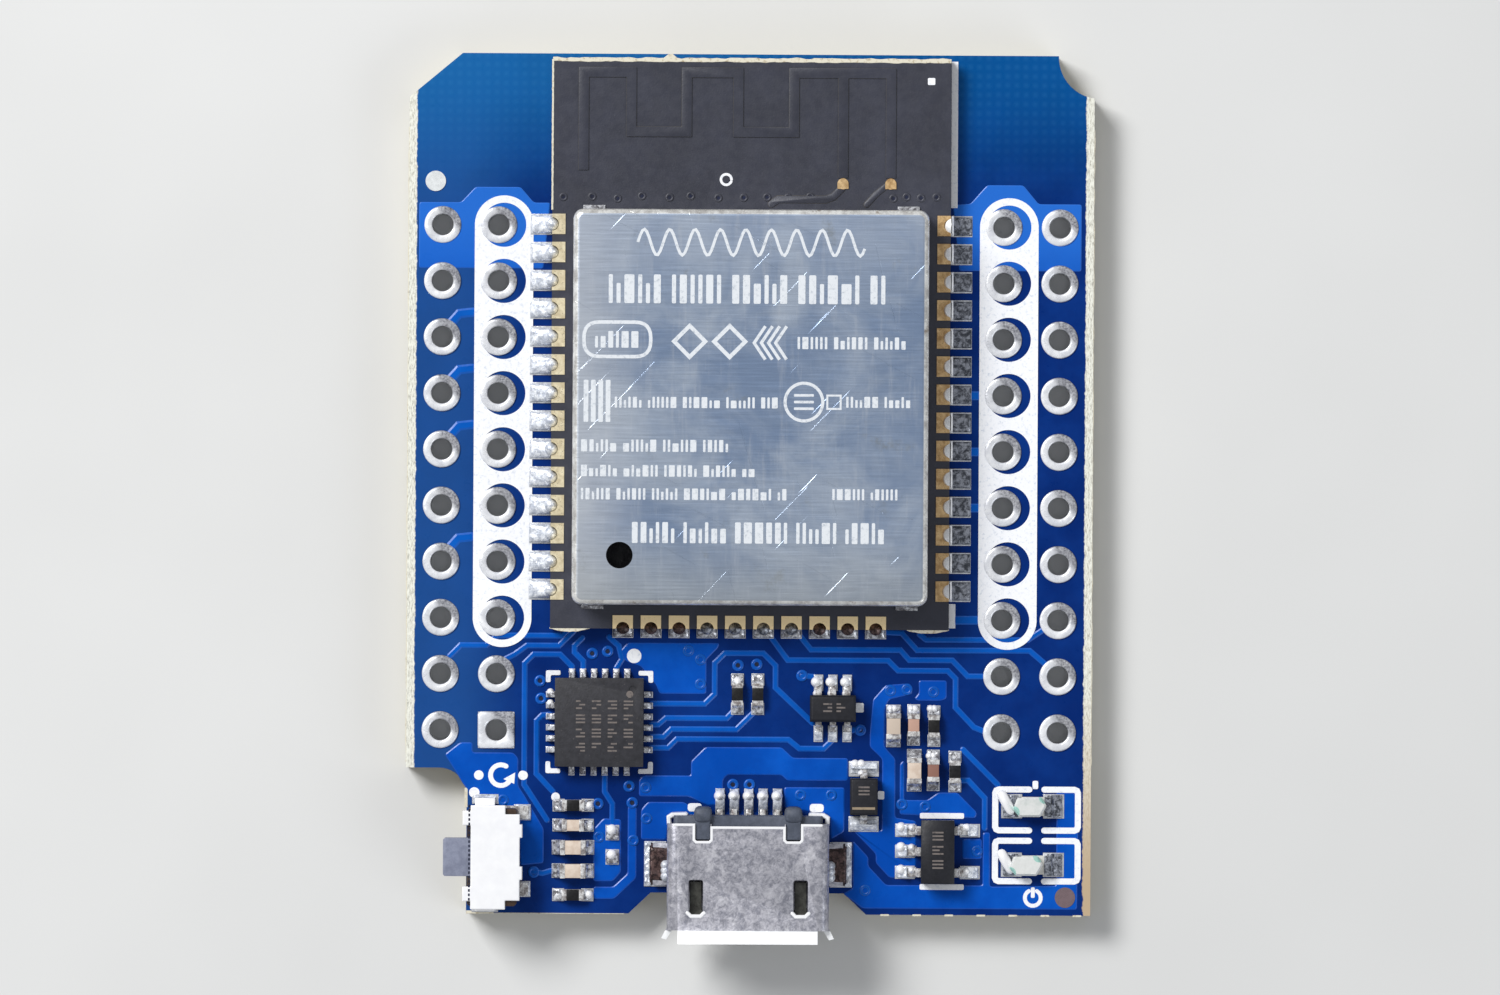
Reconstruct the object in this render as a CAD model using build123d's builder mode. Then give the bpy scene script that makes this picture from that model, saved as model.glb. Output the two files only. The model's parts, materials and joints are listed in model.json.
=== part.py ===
from build123d import *
import os

os.makedirs("parts", exist_ok=True)

# Microcontroller dev board, in millimetres.
# X runs across the board, Y towards the antenna end, Z up from the component side.
# The origin is on the underside, midway between the header columns and rows.

# Main board
BOARD_T = 1.6
SIDE_X = 15.5
TOP_Y = 19.2
BOTTOM_Y = -19.7
NOTCH_X = -12.75
NOTCH_Y = -13.15
RECESS_Y = -18.75

# Header holes: two outer and two inner columns of ten
PITCH = 2.54
ROWS = 10
OUTER_SPAN = 27.94
INNER_SPAN = 22.86
HOLE_R = 0.5
BARREL_R = 0.55
RING_R = 0.82
RING_T = 0.06
RING_PROUD = 0.03

# Tinned pads, and the solder film between a pad and the part on it
PAD_T = 0.04
FILM_T = 0.03
PAD_TOP = BOARD_T + PAD_T
SEAT_Z = PAD_TOP + FILM_T

# Radio module
MODULE_W = 18.0
MODULE_LOW_Y = -6.8
MODULE_HIGH_Y = 18.9
MODULE_T = 0.8
MODULE_FILM = 0.06
EDGE_PITCH = 1.27
SIDE_PADS = 14
END_PADS = 10
FIRST_PAD_Y = 11.46
CASTELLATION_R = 0.3
CASTELLATION_WALL = 0.05
MODULE_PAD_Z = PAD_TOP + MODULE_FILM
MODULE_Z = MODULE_PAD_Z + PAD_T
MODULE_TOP = MODULE_Z + MODULE_T
CAN_W = 16.0
CAN_LOW_Y = -5.7
CAN_HIGH_Y = 12.1
CAN_TOP = MODULE_PAD_Z + 3.1
CAN_T = 0.2
VENT_HOLE = (-5.86, -3.47)
THERMAL_PAD = (-0.5, 3.4)
THERMAL_PAD_W = 5.0

module_y = (MODULE_LOW_Y + MODULE_HIGH_Y) / 2
module_l = MODULE_HIGH_Y - MODULE_LOW_Y
can_y = (CAN_LOW_Y + CAN_HIGH_Y) / 2
can_l = CAN_HIGH_Y - CAN_LOW_Y
side_pad_ys = [FIRST_PAD_Y - EDGE_PITCH * k for k in range(SIDE_PADS)]
end_pad_xs = [EDGE_PITCH * (k - (END_PADS - 1) / 2) for k in range(END_PADS)]

# Serial bridge chip, a 24-pin leadless package
BRIDGE_X = -6.76
BRIDGE_Y = -11.05
BRIDGE_W = 4.0
BRIDGE_H = 0.85
BRIDGE_PITCH = 0.5
BRIDGE_PINS = 6
BRIDGE_PAD_W = 2.6
PIN_W = 0.24
PIN_L = 0.4
PIN_H = 0.2

# Micro-USB socket
USB_BACK = 15.55
USB_FRONT = 20.35
USB_HALF = 3.65
USB_LOW = PAD_TOP
USB_TOP = USB_LOW + 2.45
USB_SHEET = 0.25
USB_TAB_BACK = 16.5
USB_TAB_L = 1.9
POST_X = 2.04
CONTACT_W = 0.24
CONTACT_PITCH = 0.65
contact_xs = [0.02 + CONTACT_PITCH * (k - 2) for k in range(5)]

# Reset switch, pressed from the board's left edge towards +X
SW_Y = -17.15
SW_FRONT = -12.68
SW_REAR = -10.45
SW_LEN = 4.4
SW_LOW = BOARD_T + 0.02
SW_TOP = 3.0
STEM_W = 1.72
STEM_H = 1.02
PLAY = 0.03
CAVITY_FRONT = SW_FRONT + 0.23
CAVITY_REAR = -11.38
CAVITY_LOW = 1.9
NOSE_X = -11.92
DOME_APEX = NOSE_X + 0.02
COVER_T = 0.15
COVER_TABS = [(SW_REAR + 0.13, -15.96), (SW_REAR + 0.13, -17.86)]
REAR_FEET = [(-10.66, -15.15), (-10.66, -18.62)]

# Strips of the two switch contacts: centre X and Y, width and length
STRIP_Z = 1.7
STRIP_H = 0.12
UPRIGHT_H = 1.05
UPRIGHTS = [(-11.32, SW_Y, STRIP_H, 0.6), (-11.32, -18.15, STRIP_H, 0.7)]
FLAT_STRIPS = [(-11.19, -16.15, 0.38, 2.6), (-11.19, -18.36, 0.38, 1.12)]
FLAT_STRIPS += [(x, y, 1.44, 0.6) for x, y in REAR_FEET]

# Two-terminal chip parts: centre, and 0 across or 90 along the board
RESISTORS = [
    (-0.52, -9.75, 90),
    (0.40, -9.75, 90),
    (8.38, -11.15, 90),
    (9.34, -13.2, 90),
    (-7.92, -14.82, 0),
    (-7.92, -18.87, 0),
]
SMALL_CAPS = [(7.46, -11.1, 90), (8.36, -13.15, 90), (-7.92, -15.72, 0)]
LARGE_CAPS = [(6.55, -11.15, 90), (7.5, -13.15, 90), (-7.92, -16.72, 0), (-7.92, -17.78, 0)]
LED_SPOTS = [(12.87, -14.75), (12.87, -17.4)]
EMPTY_PADS = [(-6.14, -16.05), (-6.14, -17.15)]
FIDUCIALS = [(-14.3, 13.4), (14.35, -18.88)]
CHIP_L = 1.0
CHIP_W = 0.5
RESISTOR_H = 0.32
SMALL_CAP_H = 0.5
LARGE_L = 1.15
LARGE_W = 0.62
LARGE_H = 0.6
END_CAP = 0.22
PLATE = 0.02

# Three moulded packages
REGULATOR = (8.57, -16.82)
REGULATOR_W = 1.5
REGULATOR_L = 2.86
REGULATOR_TOP = 2.8
TRANSISTOR = (3.8, -10.37)
TRANSISTOR_W = 2.08
TRANSISTOR_L = 1.2
TRANSISTOR_TOP = 2.6
DIODE = (5.22, -14.35)
DIODE_W = 1.25
DIODE_L = 1.66
DIODE_TOP = 2.6


def side_plane(x, y, heading):
    """Upright plane through (x, y): local X runs out along the heading, local Y runs up."""
    out = Vector(1, 0, 0).rotate(Axis.Z, heading)
    return Plane(origin=(x, y, 0), x_dir=out, z_dir=out.cross(Vector(0, 0, 1)))


def rectangles(places):
    """Rectangles given as centre X and Y, width and length, added to the open sketch."""
    for x, y, width, length in places:
        with Locations((x, y)):
            Rectangle(width, length)


def four_rows(centre, reach, pitch, count, width, length):
    """Rows of equal rectangles on the four sides of a square package."""
    for turn in (0, 90, 180, 270):
        with Locations(Location((*centre, 0), (0, 0, turn))):
            with Locations((0, reach)):
                with GridLocations(pitch, 1, count, 1):
                    Rectangle(width, length)


def chip_middles(spots, length, width):
    """One rectangle for each chip part, turned as the part is."""
    for x, y, turn in spots:
        with Locations(Location((x, y, 0), (0, 0, turn))):
            Rectangle(length, width)


def chip_ends(spots, span, length, width):
    """Two rectangles for each chip part, span apart."""
    for x, y, turn in spots:
        with Locations(Location((x, y, 0), (0, 0, turn))):
            with GridLocations(span, 1, 2, 1):
                Rectangle(length, width)


def lead_pads(places, reach, length, width):
    """A pad for each lead, its middle at reach along the lead."""
    for x, y, turn in places:
        with Locations(Location((x, y, 0), (0, 0, turn))):
            with Locations((reach, 0)):
                Rectangle(length, width)


def gull_wing(reach, height, sheet):
    """Side profile of a lead that leaves a body, drops and lies along its pad."""
    return [
        (0, SEAT_Z + height),
        (0.16, SEAT_Z + height),
        (0.3, SEAT_Z + sheet),
        (reach, SEAT_Z + sheet),
        (reach, SEAT_Z),
        (0.2, SEAT_Z),
        (0.08, SEAT_Z + height - sheet),
        (0, SEAT_Z + height - sheet),
    ]


def lead_solder(reach, length, height):
    """Side profile of the solder under a lead's foot and round its toe."""
    return [
        (0.2, PAD_TOP),
        (length, PAD_TOP),
        (length - 0.08, PAD_TOP + 0.4 * height),
        (reach + 0.06, PAD_TOP + height),
        (reach, PAD_TOP + height),
        (reach, SEAT_Z),
        (0.2, SEAT_Z),
    ]


def end_solder(half, length, height):
    """Side profile of the solder under and outside a chip part's end cap."""
    return [
        (half - END_CAP + 0.04, PAD_TOP),
        (length, PAD_TOP),
        (length - 0.03, PAD_TOP + 0.07),
        (half + 0.14, SEAT_Z + 0.45 * height),
        (half, SEAT_Z + height),
        (half, SEAT_Z),
        (half - END_CAP + 0.04, SEAT_Z),
    ]


regulator_leads_at = [
    (REGULATOR[0] - REGULATOR_W / 2, REGULATOR[1] + 0.95, 180),
    (REGULATOR[0] - REGULATOR_W / 2, REGULATOR[1], 180),
    (REGULATOR[0] - REGULATOR_W / 2, REGULATOR[1] - 0.95, 180),
    (REGULATOR[0] + REGULATOR_W / 2, REGULATOR[1] + 0.95, 0),
    (REGULATOR[0] + REGULATOR_W / 2, REGULATOR[1] - 0.95, 0),
]
transistor_leads_at = []
for lead_x in (-0.65, 0, 0.65):
    for lead_side in (-1, 1):
        lead_y = TRANSISTOR[1] + lead_side * TRANSISTOR_L / 2
        transistor_leads_at.append((TRANSISTOR[0] + lead_x, lead_y, 90 * lead_side))
diode_leads_at = [
    (DIODE[0], DIODE[1] + DIODE_L / 2, 90),
    (DIODE[0], DIODE[1] - DIODE_L / 2, -90),
]

# ---------------------------------------------------------------- main board

header_spots = []
for span in (OUTER_SPAN, INNER_SPAN):
    for side in (-1, 1):
        for row in range(ROWS):
            header_spots.append((side * span / 2, PITCH * ((ROWS - 1) / 2 - row)))
square_spot = (-INNER_SPAN / 2, -PITCH * (ROWS - 1) / 2)
round_spots = [spot for spot in header_spots if spot != square_spot]

with BuildPart() as main_board:
    with BuildSketch() as board_outline:
        with BuildLine():
            Polyline(
                (-13.1, TOP_Y),
                (SIDE_X, TOP_Y),
                (SIDE_X, BOTTOM_Y),
                (5.35, BOTTOM_Y),
                (4.35, RECESS_Y),
                (-4.4, RECESS_Y),
                (-5.4, BOTTOM_Y),
                (NOTCH_X, BOTTOM_Y),
                (NOTCH_X, NOTCH_Y),
                (-SIDE_X, NOTCH_Y),
                (-SIDE_X, 17.2),
                close=True,
            )
        make_face()
        fillet(board_outline.vertices().sort_by_distance((NOTCH_X, NOTCH_Y))[0], radius=1.25)
        with Locations((SIDE_X + 0.25, TOP_Y - 0.05)):
            Circle(1.88, mode=Mode.SUBTRACT)
    extrude(amount=BOARD_T)
    with BuildSketch():
        with Locations(header_spots):
            Circle(BARREL_R)
    extrude(amount=BOARD_T, mode=Mode.SUBTRACT)
    for recess_z in (0, BOARD_T - RING_T + RING_PROUD):
        with BuildSketch(Plane.XY.offset(recess_z)):
            with Locations(round_spots):
                Circle(RING_R)
            with Locations(square_spot):
                Rectangle(2 * RING_R, 2 * RING_R)
        extrude(amount=RING_T if recess_z == 0 else RING_T - RING_PROUD, mode=Mode.SUBTRACT)

main_board.part.label = "main_board"
export_step(main_board.part, "parts/main_board.step")

# Plated barrel with a land on each face. The lower land is flush with the underside.
with BuildPart() as header_hole_plating:
    with BuildSketch():
        with Locations(header_spots):
            Circle(BARREL_R)
    extrude(amount=BOARD_T + RING_PROUD)
    for land_z in (0, BOARD_T - RING_T + RING_PROUD):
        with BuildSketch(Plane.XY.offset(land_z)):
            with Locations(round_spots):
                Circle(RING_R)
            with Locations(square_spot):
                Rectangle(2 * RING_R, 2 * RING_R)
        extrude(amount=RING_T)
    with BuildSketch():
        with Locations(header_spots):
            Circle(HOLE_R)
    extrude(amount=BOARD_T + RING_PROUD, mode=Mode.SUBTRACT)

header_hole_plating.part.label = "header_hole_plating"
export_step(header_hole_plating.part, "parts/header_hole_plating.step")

# ---------------------------------------------------------------- tinned pads

with BuildPart() as surface_pads:
    with BuildSketch(Plane.XY.offset(BOARD_T)):
        with Locations([(side * 9.3, y) for side in (-1, 1) for y in side_pad_ys]):
            Rectangle(1.4, 0.95)
        with Locations([(x, MODULE_LOW_Y + 0.22) for x in end_pad_xs]):
            Rectangle(0.95, 1.3)
        with Locations(THERMAL_PAD):
            Rectangle(THERMAL_PAD_W, THERMAL_PAD_W)
        four_rows((BRIDGE_X, BRIDGE_Y), BRIDGE_W / 2 + 0.06, BRIDGE_PITCH, BRIDGE_PINS, 0.28, 0.72)
        with Locations((BRIDGE_X, BRIDGE_Y)):
            Rectangle(BRIDGE_PAD_W, BRIDGE_PAD_W)
        with Locations([(x, -14.62) for x in contact_xs]):
            Rectangle(0.42, 1.2)
        with Locations((-4.2, -17.45), (4.2, -17.45)):
            Rectangle(1.0, 2.05)
        with Locations((-11.9, -14.56)):
            Rectangle(1.2, 0.44)
        with Locations((-11.9, -19.57)):
            Rectangle(1.2, 0.2)
        with Locations((-10.22, -15.15), (-10.22, -18.62)):
            Rectangle(0.76, 0.72)
        with Locations(EMPTY_PADS):
            Rectangle(0.62, 0.7)
        chip_ends(RESISTORS + SMALL_CAPS, 1.32, 0.55, 0.58)
        chip_ends(LARGE_CAPS, 1.42, 0.5, 0.66)
        chip_ends([(x, y, 0) for x, y in LED_SPOTS], 1.9, 0.95, 1.1)
        lead_pads(regulator_leads_at, 0.72, 0.9, 0.6)
        lead_pads(transistor_leads_at, 0.55, 0.75, 0.42)
        lead_pads(diode_leads_at, 0.42, 0.7, 1.36)
    extrude(amount=PAD_T)

surface_pads.part.label = "surface_pads"
export_step(surface_pads.part, "parts/surface_pads.step")

with BuildPart() as fiducial_pads:
    with BuildSketch(Plane.XY.offset(BOARD_T)):
        with Locations(FIDUCIALS):
            Circle(0.46)
    extrude(amount=PAD_T)

fiducial_pads.part.label = "fiducial_pads"
export_step(fiducial_pads.part, "parts/fiducial_pads.step")

# ---------------------------------------------------------------- radio module

with BuildPart() as module_board:
    with BuildSketch(Plane.XY.offset(MODULE_Z)):
        with Locations((0, module_y)):
            Rectangle(MODULE_W, module_l)
        with Locations([(side * MODULE_W / 2, y) for side in (-1, 1) for y in side_pad_ys]):
            Circle(CASTELLATION_R + CASTELLATION_WALL, mode=Mode.SUBTRACT)
        with Locations([(x, MODULE_LOW_Y) for x in end_pad_xs]):
            Circle(CASTELLATION_R + CASTELLATION_WALL, mode=Mode.SUBTRACT)
    extrude(amount=MODULE_T)

module_board.part.label = "module_board"
export_step(module_board.part, "parts/module_board.step")

castellations = [Location((-MODULE_W / 2, y, 0), (0, 0, 0)) for y in side_pad_ys]
castellations += [Location((MODULE_W / 2, y, 0), (0, 0, 180)) for y in side_pad_ys]
castellations += [Location((x, MODULE_LOW_Y, 0), (0, 0, 90)) for x in end_pad_xs]

# Each edge pad is a half barrel joined to a land above and below the module board.
with BuildPart() as module_edge_pads:
    with BuildSketch(Plane.XY.offset(MODULE_PAD_Z)):
        with Locations(castellations):
            Circle(CASTELLATION_R + CASTELLATION_WALL)
    extrude(amount=MODULE_T + 2 * PAD_T)
    for land_z in (MODULE_PAD_Z, MODULE_TOP):
        with BuildSketch(Plane.XY.offset(land_z)):
            with Locations(castellations):
                with Locations((0.3, 0)):
                    Rectangle(0.6, 0.92)
        extrude(amount=PAD_T)
    with BuildSketch(Plane.XY.offset(MODULE_PAD_Z)):
        with Locations(castellations):
            Circle(CASTELLATION_R)
            with Locations((-0.3, 0)):
                Rectangle(0.6, 0.92)
    extrude(amount=MODULE_T + 2 * PAD_T, mode=Mode.SUBTRACT)

module_edge_pads.part.label = "module_edge_pads"
export_step(module_edge_pads.part, "parts/module_edge_pads.step")

# Solder in each half-hole, running out onto the board pad, and under the centre pad.
with BuildPart() as module_solder_joints:
    for x, heading in ((-MODULE_W / 2, 180), (MODULE_W / 2, 0)):
        with BuildSketch(side_plane(x, FIRST_PAD_Y + 0.4, heading)) as side_fillet:
            with BuildLine():
                Polyline((0.95, PAD_TOP), (0, PAD_TOP), (0, MODULE_TOP - 0.05))
                Spline((0, MODULE_TOP - 0.05), (0.28, PAD_TOP + 0.32), (0.95, PAD_TOP))
            make_face()
        extrude(amount=EDGE_PITCH * (SIDE_PADS - 1) + 0.8, dir=(0, -1, 0))
    with BuildSketch(side_plane(end_pad_xs[0] - 0.4, MODULE_LOW_Y, -90)):
        with BuildLine():
            Polyline((0.4, PAD_TOP), (0, PAD_TOP), (0, PAD_TOP + 0.5))
            Spline((0, PAD_TOP + 0.5), (0.14, PAD_TOP + 0.2), (0.4, PAD_TOP))
        make_face()
    extrude(amount=EDGE_PITCH * (END_PADS - 1) + 0.8, dir=(1, 0, 0))
    with BuildSketch(Plane.XY.offset(PAD_TOP)):
        with Locations([(side * 9.5, y - EDGE_PITCH / 2) for side in (-1, 1) for y in side_pad_ys]):
            Rectangle(1.2, EDGE_PITCH - 0.8)
        with Locations([(x + EDGE_PITCH / 2, MODULE_LOW_Y - 0.3) for x in end_pad_xs]):
            Rectangle(EDGE_PITCH - 0.8, 0.6)
    extrude(amount=MODULE_T + 1, mode=Mode.SUBTRACT)
    with BuildSketch(Plane.XY.offset(PAD_TOP)):
        with Locations(castellations):
            with Locations((0.2, 0)):
                Rectangle(0.4, 0.8)
        with Locations(THERMAL_PAD):
            Rectangle(THERMAL_PAD_W - 0.2, THERMAL_PAD_W - 0.2)
    extrude(amount=MODULE_FILM)
    with BuildSketch(Plane.XY.offset(PAD_TOP)):
        with Locations(castellations):
            Circle(CASTELLATION_R)
    extrude(amount=MODULE_TOP - PAD_TOP - 0.35)

module_solder_joints.part.label = "module_solder_joints"
export_step(module_solder_joints.part, "parts/module_solder_joints.step")

with BuildPart() as module_thermal_pad:
    with BuildSketch(Plane.XY.offset(MODULE_PAD_Z)):
        with Locations(THERMAL_PAD):
            Rectangle(THERMAL_PAD_W, THERMAL_PAD_W)
    extrude(amount=PAD_T)

module_thermal_pad.part.label = "module_thermal_pad"
export_step(module_thermal_pad.part, "parts/module_thermal_pad.step")

# Meander antenna strip, raised a little above the module board.
STRIP_T = 0.05
ANTENNA_TOP_Y = 18.33
ANTENNA_BEND_Y = 15.65
FEED_Y = 13.35
with BuildPart() as module_antenna:
    with BuildSketch(Plane.XY.offset(MODULE_TOP)):
        with BuildLine():
            Polyline(
                (-7.6, 13.9),
                (-7.6, ANTENNA_TOP_Y),
                (-5.45, ANTENNA_TOP_Y),
                (-5.45, ANTENNA_BEND_Y),
                (-2.95, ANTENNA_BEND_Y),
                (-2.95, ANTENNA_TOP_Y),
                (-0.62, ANTENNA_TOP_Y),
                (-0.62, ANTENNA_BEND_Y),
                (1.9, ANTENNA_BEND_Y),
                (1.9, ANTENNA_TOP_Y),
                (6.28, ANTENNA_TOP_Y),
                (6.28, FEED_Y + 0.25),
            )
        trace(line_width=0.46)
        with BuildLine():
            Line((4.12, ANTENNA_TOP_Y), (4.12, FEED_Y + 0.25))
        trace(line_width=0.46)
    extrude(amount=STRIP_T)

module_antenna.part.label = "module_antenna"
export_step(module_antenna.part, "parts/module_antenna.step")

with BuildPart() as antenna_feed_pads:
    with BuildSketch(Plane.XY.offset(MODULE_TOP)):
        with Locations((4.12, FEED_Y - 0.01), (6.28, FEED_Y - 0.01)):
            Circle(0.25)
            with Locations((0, -0.13)):
                Rectangle(0.5, 0.2)
    extrude(amount=STRIP_T)

antenna_feed_pads.part.label = "antenna_feed_pads"
export_step(antenna_feed_pads.part, "parts/antenna_feed_pads.step")

# Folded sheet can: slits up the corners, shallow gaps along the foot, one vent hole.
can_h = CAN_TOP - MODULE_TOP
with BuildPart() as shield_can:
    with BuildSketch(Plane.XY.offset(MODULE_TOP)):
        with Locations((0, can_y)):
            RectangleRounded(CAN_W, can_l, 0.45)
    extrude(amount=can_h)
    fillet(shield_can.faces().sort_by(Axis.Z)[-1].edges(), radius=0.3)
    with BuildSketch(Plane.XY.offset(MODULE_TOP)):
        with Locations((0, can_y)):
            RectangleRounded(CAN_W - 2 * CAN_T, can_l - 2 * CAN_T, 0.25)
    extrude(amount=can_h - CAN_T, mode=Mode.SUBTRACT)
    with BuildSketch(Plane.XY.offset(MODULE_TOP)):
        for turn_x in (-1, 1):
            for turn_y in (-1, 1):
                corner = (turn_x * (CAN_W / 2 - 0.2), can_y + turn_y * (can_l / 2 - 0.2))
                with Locations(Location((*corner, 0), (0, 0, 45 * turn_x * turn_y))):
                    Rectangle(1.2, 0.14)
    extrude(amount=can_h - 0.75, mode=Mode.SUBTRACT)
    with BuildSketch(Plane.XY.offset(MODULE_TOP)):
        with Locations((0, can_y)):
            with GridLocations(4.6, can_l, 3, 2):
                Rectangle(1.6, 1)
            with GridLocations(CAN_W, 5.4, 2, 3):
                Rectangle(1, 2)
    extrude(amount=0.18, mode=Mode.SUBTRACT)
    with BuildSketch(Plane.XY.offset(CAN_TOP - 1)):
        with Locations(VENT_HOLE):
            Circle(0.6)
    extrude(amount=1.1, mode=Mode.SUBTRACT)

shield_can.part.label = "shield_can"
export_step(shield_can.part, "parts/shield_can.step")

# Fillets of solder that hold the foot of the can, one outside each corner slit.
with BuildPart() as shield_solder:
    for side in (-1, 1):
        for foot_x in (-7.1, 7.1):
            foot_y = can_y + side * can_l / 2
            with BuildSketch(side_plane(foot_x, foot_y, 90 * side)):
                Polygon(
                    (0.24, MODULE_TOP),
                    (0, MODULE_TOP),
                    (0, MODULE_TOP + 0.4),
                    (0.07, MODULE_TOP + 0.16),
                    align=None,
                )
            extrude(amount=0.5, both=True)

shield_solder.part.label = "shield_solder"
export_step(shield_solder.part, "parts/shield_solder.step")

# Parts under the can
CPU = (-0.8, 4.4)
CPU_W = 6.0
CPU_H = 0.85
CPU_PAD_W = 4.2
CPU_ROW = (CPU_W / 2 - 0.2, 0.4, 12, 0.2, 0.4)
FLASH = (3.2, -2.3)
FLASH_W = 3.9
CRYSTAL = (-4.6, 9.4)
INNER_CAPS = [
    (-6.2, 2.2, 90),
    (-6.2, 4.2, 90),
    (-6.2, 6.2, 90),
    (3.8, 6.6, 0),
    (3.8, 5.2, 0),
    (3.8, 3.8, 0),
    (-3.4, -1.4, 90),
    (-4.8, -1.4, 90),
]
INNER_COILS = [(0.4, 9.6, 0), (3.2, 9.6, 0)]

with BuildPart() as processor_pads:
    with BuildSketch(Plane.XY.offset(MODULE_TOP)):
        four_rows(CPU, *CPU_ROW)
        with Locations(CPU):
            Rectangle(CPU_PAD_W, CPU_PAD_W)
    extrude(amount=PIN_H)

processor_pads.part.label = "processor_pads"
export_step(processor_pads.part, "parts/processor_pads.step")

with BuildPart() as processor_chip:
    with BuildSketch(Plane.XY.offset(MODULE_TOP)):
        with Locations(CPU):
            Rectangle(CPU_W, CPU_W)
    extrude(amount=CPU_H)
    with Locations((CPU[0] - 2.3, CPU[1] + 2.3, MODULE_TOP + CPU_H)):
        Hole(radius=0.25, depth=0.05)
    with BuildSketch(Plane.XY.offset(MODULE_TOP)):
        four_rows(CPU, *CPU_ROW)
        with Locations(CPU):
            Rectangle(CPU_PAD_W, CPU_PAD_W)
    extrude(amount=PIN_H, mode=Mode.SUBTRACT)

processor_chip.part.label = "processor_chip"
export_step(processor_chip.part, "parts/processor_chip.step")

with BuildPart() as flash_memory_chip:
    with BuildSketch(Plane.XY.offset(MODULE_TOP + 0.1)):
        with Locations(FLASH):
            Rectangle(FLASH_W, 4.9)
    extrude(amount=1.4)
    chamfer(flash_memory_chip.faces().sort_by(Axis.Z)[-1].edges(), length=0.15)

flash_memory_chip.part.label = "flash_memory_chip"
export_step(flash_memory_chip.part, "parts/flash_memory_chip.step")

with BuildPart() as flash_memory_leads:
    for side, heading in ((-1, 180), (1, 0)):
        for step in (-1.5, -0.5, 0.5, 1.5):
            lead_x = FLASH[0] + side * FLASH_W / 2
            with BuildSketch(side_plane(lead_x, FLASH[1] + EDGE_PITCH * step, heading)):
                Polygon(
                    (0, MODULE_TOP + 0.8),
                    (0.3, MODULE_TOP + 0.8),
                    (0.45, MODULE_TOP + 0.18),
                    (0.95, MODULE_TOP + 0.18),
                    (0.95, MODULE_TOP),
                    (0.3, MODULE_TOP),
                    (0.16, MODULE_TOP + 0.62),
                    (0, MODULE_TOP + 0.62),
                    align=None,
                )
            extrude(amount=0.2, both=True)

flash_memory_leads.part.label = "flash_memory_leads"
export_step(flash_memory_leads.part, "parts/flash_memory_leads.step")

with BuildPart() as crystal_base:
    with BuildSketch(Plane.XY.offset(MODULE_TOP)):
        with Locations(CRYSTAL):
            Rectangle(3.2, 2.5)
    extrude(amount=0.35)

crystal_base.part.label = "crystal_base"
export_step(crystal_base.part, "parts/crystal_base.step")

with BuildPart() as crystal_lid:
    with BuildSketch(Plane.XY.offset(MODULE_TOP + 0.35)):
        with Locations(CRYSTAL):
            RectangleRounded(2.9, 2.2, 0.3)
    extrude(amount=0.3)
    chamfer(crystal_lid.faces().sort_by(Axis.Z)[-1].edges(), length=0.08)

crystal_lid.part.label = "crystal_lid"
export_step(crystal_lid.part, "parts/crystal_lid.step")

with BuildPart() as module_coils:
    with BuildSketch(Plane.XY.offset(MODULE_TOP)):
        chip_middles(INNER_COILS, 1.6, 0.8)
    extrude(amount=0.8)

module_coils.part.label = "module_coils"
export_step(module_coils.part, "parts/module_coils.step")

with BuildPart() as module_capacitors:
    with BuildSketch(Plane.XY.offset(MODULE_TOP)):
        chip_middles(INNER_CAPS, CHIP_L - 2 * END_CAP, CHIP_W)
    extrude(amount=SMALL_CAP_H)

module_capacitors.part.label = "module_capacitors"
export_step(module_capacitors.part, "parts/module_capacitors.step")

with BuildPart() as module_capacitor_ends:
    with BuildSketch(Plane.XY.offset(MODULE_TOP)):
        chip_ends(INNER_CAPS, CHIP_L - END_CAP, END_CAP, CHIP_W + 2 * PLATE)
    extrude(amount=SMALL_CAP_H + PLATE)

module_capacitor_ends.part.label = "module_capacitor_ends"
export_step(module_capacitor_ends.part, "parts/module_capacitor_ends.step")

# ---------------------------------------------------------------- serial bridge chip

with BuildPart() as bridge_chip_pads:
    with BuildSketch(Plane.XY.offset(SEAT_Z)):
        four_rows((BRIDGE_X, BRIDGE_Y), (BRIDGE_W - PIN_L) / 2, BRIDGE_PITCH, BRIDGE_PINS, PIN_W, PIN_L)
        with Locations((BRIDGE_X, BRIDGE_Y)):
            Rectangle(BRIDGE_PAD_W, BRIDGE_PAD_W)
    extrude(amount=PIN_H)

bridge_chip_pads.part.label = "bridge_chip_pads"
export_step(bridge_chip_pads.part, "parts/bridge_chip_pads.step")

with BuildPart() as bridge_chip_body:
    with BuildSketch(Plane.XY.offset(SEAT_Z)):
        with Locations((BRIDGE_X, BRIDGE_Y)):
            Rectangle(BRIDGE_W, BRIDGE_W)
    extrude(amount=BRIDGE_H)
    with Locations((BRIDGE_X + 1.5, BRIDGE_Y + 1.5, SEAT_Z + BRIDGE_H)):
        Hole(radius=0.16, depth=0.03)
    with BuildSketch(Plane.XY.offset(SEAT_Z)):
        four_rows((BRIDGE_X, BRIDGE_Y), (BRIDGE_W - PIN_L) / 2, BRIDGE_PITCH, BRIDGE_PINS, PIN_W, PIN_L)
        with Locations((BRIDGE_X, BRIDGE_Y)):
            Rectangle(BRIDGE_PAD_W, BRIDGE_PAD_W)
    extrude(amount=PIN_H, mode=Mode.SUBTRACT)

bridge_chip_body.part.label = "bridge_chip_body"
export_step(bridge_chip_body.part, "parts/bridge_chip_body.step")

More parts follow.
